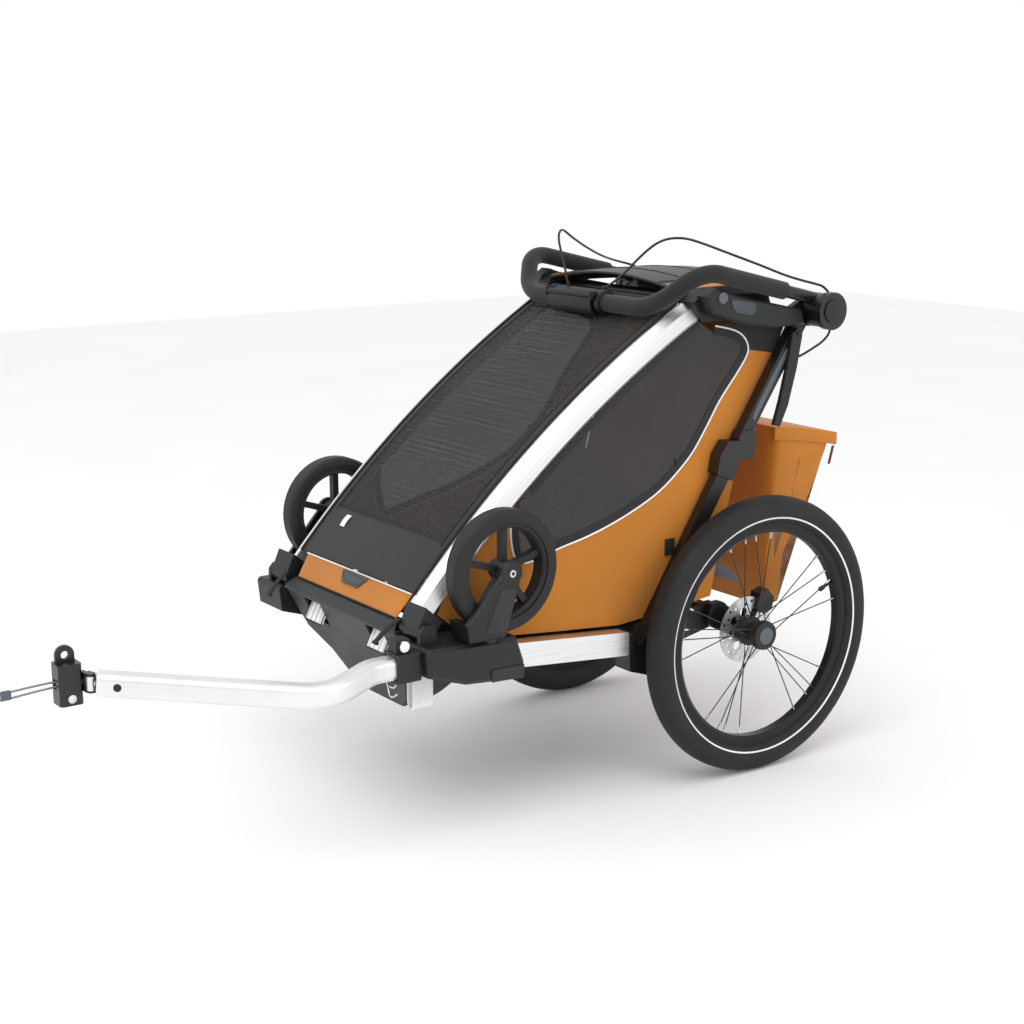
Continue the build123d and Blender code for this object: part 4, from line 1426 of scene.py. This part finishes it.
def make_bracket_trim():
    """Bracket trim: blank badges, knob rings and slot plates."""
    for sign, side in ((1, "left"), (-1, "right")):
        badge = outline_plate("bracket_badge_" + side, [(-66, 851), (-14, 843), (-8, 838),
                (-11, 826), (-20, 822), (-52, 828), (-62, 836)], 1.4,
                lambda a, b, c: P(256.6 + c, a, b), 0.5)
        on_side(badge, sign)
        clad(badge, "badge_rubber")
        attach(badge, "cabin")
        ring = drum("knob_ring_" + side, (290.3, *KNOB), 21.5, 3.0, (1, 0, 0), 0.7, 40)
        on_side(ring, sign)
        clad(ring, "moulded_black")
        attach(ring, "handle")
        slot = outline_plate("upright_plate_" + side, [(8, 634), (20, 652), (70, 726), (84, 752),
                (78, 757), (62, 734), (12, 660), (2, 640)], 1.2,
                lambda a, b, c: P(244.8 + c, a, b), 0.4)
        on_side(slot, sign)
        clad(slot, "moulded_grey")
        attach(slot, "cabin")


def make_console():
    """Console: a sleeve round the bar with end collars and cable bosses, and its lever."""
    pieces = [drum("sleeve", (-17, *BAR), 20.5, 148, (1, 0, 0), 2.0, 56)]
    for x in (-88.5, 54.5):
        pieces.append(drum("collar", (x, *BAR), 22.5, 7, (1, 0, 0), 1.6, 56))
    for x, y in ((44, -176), (-58, -178)):
        pieces.append(drum("boss", (x, y, 855.5), 4.8, 7, (0, 0, 1), 1.2, 24))
        pieces.append(drum("ferrule", (x, y, 861), 3.4, 6, (0, 0, 1), 0.8, 20))
    for x0, x1 in ((-85, -80.6), (45.6, 50)):
        pieces.append(brick("lug", (x0, -211, 840), (x1, -194, 857), 2.0, 3))
    sleeve = clad(smooth(joined("console_sleeve", pieces)), "moulded_black")
    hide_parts("console")
    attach(sleeve, "handle")
    blade = outline_plate("lever_blade", [(-209, 852), (-204, 852), (-203.4, 842),
                          (-203.2, 836), (-202.6, 828), (-199.4, 821), (-194.5, 814),
                          (-197, 812.4), (-203, 818), (-206.4, 826), (-207.6, 836),
                          (-208.4, 844)], 124, lambda a, b, c: P(-79.5 + c, a, b), 1.0)
    barrel = drum("lever_barrel", (-17.5, -206, 849), 5.0, 124, (1, 0, 0), 1.0, 24)
    lever = clad(smooth(joined("parking_lever", [blade, barrel])), "moulded_black")
    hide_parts("brake_lever")
    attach(lever, "lever")


def make_fork_trim():
    """Stroller forks: bolt with a bright ring, and the sunk plate in each leg."""
    for sign, side in ((1, "left"), (-1, "right")):
        ring = drum("fork_bolt_" + side, (300.4, *FORK_BOLT), 6.2, 2.0, (1, 0, 0), 0.6, 24)
        inner = drum("fork_socket_" + side, (301.6, *FORK_BOLT), 3.2, 1.0, (1, 0, 0), 0.3, 6)
        plate = outline_plate("fork_plate_" + side, [(-572, 427), (-549, 424), (-545, 419),
                (-563, 361), (-569, 356), (-600, 357), (-604, 363), (-577, 423)], 0.7,
                lambda a, b, c: P(300.0 + c, a, b), 0.3)
        for obj in (ring, inner, plate):
            on_side(obj, sign)
        clad(ring, "chrome")
        clad(inner, "moulded_black")
        clad(plate, "moulded_charcoal")
        for obj in (ring, inner, plate):
            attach(obj, "fork_" + side)


def make_rear_hooks():
    """Grey hooks inside the rear corners."""
    for sign, side in ((1, "left"), (-1, "right")):
        hook = outline_plate("inner_hook_" + side, [(6, 366), (18, 358), (64, 324), (66, 314),
                (54, 312), (30, 326), (8, 330), (-8, 344), (-10, 358)], 6.0,
                lambda a, b, c: P(sign * (150 + c), a, b), 1.2)
        clad(hook, "moulded_grey")
        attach(hook, "chassis")


# ------------------------------------------------------------------ operators and panel

class TRAILER_OT_stage(bpy.types.Operator):
    """Makes the floor, the lights and the camera"""
    bl_idname = "trailer.stage"
    bl_label = "Stage"

    def execute(self, context):
        make_stage()
        return {"FINISHED"}


class TRAILER_OT_leash(bpy.types.Operator):
    """Makes the coated wire rope on the hitch head"""
    bl_idname = "trailer.leash"
    bl_label = "Safety leash"

    def execute(self, context):
        make_leash()
        return {"FINISHED"}


class TRAILER_OT_brake_cables(bpy.types.Operator):
    """Makes the four brake cables"""
    bl_idname = "trailer.brake_cables"
    bl_label = "Brake cables"

    def execute(self, context):
        make_brake_cables()
        return {"FINISHED"}


class TRAILER_OT_carried(bpy.types.Operator):
    """Gives every carried part its finish"""
    bl_idname = "trailer.carried"
    bl_label = "Frame finishes"

    def execute(self, context):
        finish_carried()
        return {"FINISHED"}


class TRAILER_OT_big_wheels(bpy.types.Operator):
    """Makes tyres, stripes, nipples, valves and disc bolts"""
    bl_idname = "trailer.big_wheels"
    bl_label = "Big wheels"

    def execute(self, context):
        make_big_wheels()
        return {"FINISHED"}


class TRAILER_OT_front_cover(bpy.types.Operator):
    """Makes the mesh cover with its canvas border and keders"""
    bl_idname = "trailer.front_cover"
    bl_label = "Front cover"

    def execute(self, context):
        make_front_cover()
        return {"FINISHED"}


class TRAILER_OT_front_band(bpy.types.Operator):
    """Makes the gold band, its piping and its blank badge"""
    bl_idname = "trailer.front_band"
    bl_label = "Front band"

    def execute(self, context):
        make_front_band()
        return {"FINISHED"}


class TRAILER_OT_nose_trim(bpy.types.Operator):
    """Makes the reflector frames and the pull tabs"""
    bl_idname = "trailer.nose_trim"
    bl_label = "Nose trim"

    def execute(self, context):
        make_nose_trim()
        return {"FINISHED"}


class TRAILER_OT_strap_loop(bpy.types.Operator):
    """Makes the white webbing loop"""
    bl_idname = "trailer.strap_loop"
    bl_label = "Hand strap"

    def execute(self, context):
        make_strap_loop()
        return {"FINISHED"}


class TRAILER_OT_hitch_trim(bpy.types.Operator):
    """Makes the pin head, the wire clip and the arm's plugs"""
    bl_idname = "trailer.hitch_trim"
    bl_label = "Hitch trim"

    def execute(self, context):
        make_hitch_trim()
        return {"FINISHED"}


class TRAILER_OT_sides(bpy.types.Operator):
    """Makes the side cloths, windows, edges and piping"""
    bl_idname = "trailer.sides"
    bl_label = "Sides"

    def execute(self, context):
        make_sides()
        return {"FINISHED"}


class TRAILER_OT_rear(bpy.types.Operator):
    """Makes the rear cloth between the uprights"""
    bl_idname = "trailer.rear"
    bl_label = "Rear cloth"

    def execute(self, context):
        make_rear()
        return {"FINISHED"}


class TRAILER_OT_roof(bpy.types.Operator):
    """Makes the crowned roof with its patches and seams"""
    bl_idname = "trailer.roof"
    bl_label = "Roof"

    def execute(self, context):
        make_roof()
        return {"FINISHED"}


class TRAILER_OT_bag(bpy.types.Operator):
    """Makes the hanging bag with its lid"""
    bl_idname = "trailer.bag"
    bl_label = "Rear bag"

    def execute(self, context):
        make_bag()
        return {"FINISHED"}


class TRAILER_OT_seat(bpy.types.Operator):
    """Makes the stuffed seat, backrest and harness"""
    bl_idname = "trailer.seat"
    bl_label = "Seat"

    def execute(self, context):
        make_seat()
        return {"FINISHED"}


class TRAILER_OT_bracket_trim(bpy.types.Operator):
    """Makes the blank badges, knob rings and plates"""
    bl_idname = "trailer.bracket_trim"
    bl_label = "Bracket trim"

    def execute(self, context):
        make_bracket_trim()
        return {"FINISHED"}


class TRAILER_OT_console(bpy.types.Operator):
    """Makes the sleeve and lever on the bar"""
    bl_idname = "trailer.console"
    bl_label = "Console"

    def execute(self, context):
        make_console()
        return {"FINISHED"}


class TRAILER_OT_fork_trim(bpy.types.Operator):
    """Makes the fork bolts and leg plates"""
    bl_idname = "trailer.fork_trim"
    bl_label = "Fork trim"

    def execute(self, context):
        make_fork_trim()
        return {"FINISHED"}


class TRAILER_OT_rear_hooks(bpy.types.Operator):
    """Makes the grey hooks inside the rear corners"""
    bl_idname = "trailer.rear_hooks"
    bl_label = "Rear hooks"

    def execute(self, context):
        make_rear_hooks()
        return {"FINISHED"}


OPERATORS = (
    TRAILER_OT_stage,
    TRAILER_OT_leash,
    TRAILER_OT_brake_cables,
    TRAILER_OT_carried,
    TRAILER_OT_big_wheels,
    TRAILER_OT_front_cover,
    TRAILER_OT_front_band,
    TRAILER_OT_nose_trim,
    TRAILER_OT_strap_loop,
    TRAILER_OT_hitch_trim,
    TRAILER_OT_sides,
    TRAILER_OT_rear,
    TRAILER_OT_roof,
    TRAILER_OT_bag,
    TRAILER_OT_seat,
    TRAILER_OT_bracket_trim,
    TRAILER_OT_console,
    TRAILER_OT_fork_trim,
    TRAILER_OT_rear_hooks,
)


class TRAILER_PT_panel(bpy.types.Panel):
    """Lists the trailer's settings and its pieces"""
    bl_idname = "TRAILER_PT_panel"
    bl_label = "Child Bicycle Trailer"
    bl_space_type = "VIEW_3D"
    bl_region_type = "UI"
    bl_category = "Trailer"

    def draw(self, context):
        for group in (context.scene.trailer_looks, context.scene.trailer_sizes):
            for key in group.bl_rna.properties.keys():
                if key not in ("rna_type", "name"):
                    self.layout.prop(group, key)
        for operator in OPERATORS:
            self.layout.operator(operator.bl_idname)


CLASSES = (TRAILER_PG_looks, TRAILER_PG_sizes, *OPERATORS, TRAILER_PT_panel)


def register():
    for cls in CLASSES:
        bpy.utils.register_class(cls)
    bpy.types.Scene.trailer_looks = bpy.props.PointerProperty(type=TRAILER_PG_looks)
    bpy.types.Scene.trailer_sizes = bpy.props.PointerProperty(type=TRAILER_PG_sizes)


def unregister():
    del bpy.types.Scene.trailer_looks
    del bpy.types.Scene.trailer_sizes
    for cls in reversed(CLASSES):
        bpy.utils.unregister_class(cls)


def main():
    register()
    FINISH.update(finishes())
    bpy.ops.trailer.stage()
    bpy.ops.trailer.leash()
    bpy.ops.trailer.brake_cables()
    bpy.ops.trailer.carried()
    bpy.ops.trailer.big_wheels()
    bpy.ops.trailer.front_cover()
    bpy.ops.trailer.front_band()
    bpy.ops.trailer.nose_trim()
    bpy.ops.trailer.strap_loop()
    bpy.ops.trailer.hitch_trim()
    bpy.ops.trailer.sides()
    bpy.ops.trailer.rear()
    bpy.ops.trailer.roof()
    bpy.ops.trailer.bag()
    bpy.ops.trailer.seat()
    bpy.ops.trailer.bracket_trim()
    bpy.ops.trailer.console()
    bpy.ops.trailer.fork_trim()
    bpy.ops.trailer.rear_hooks()
    for mesh in bpy.data.meshes:
        mesh.update()
    bpy.context.view_layer.update()


if __name__ == "__main__":
    main()
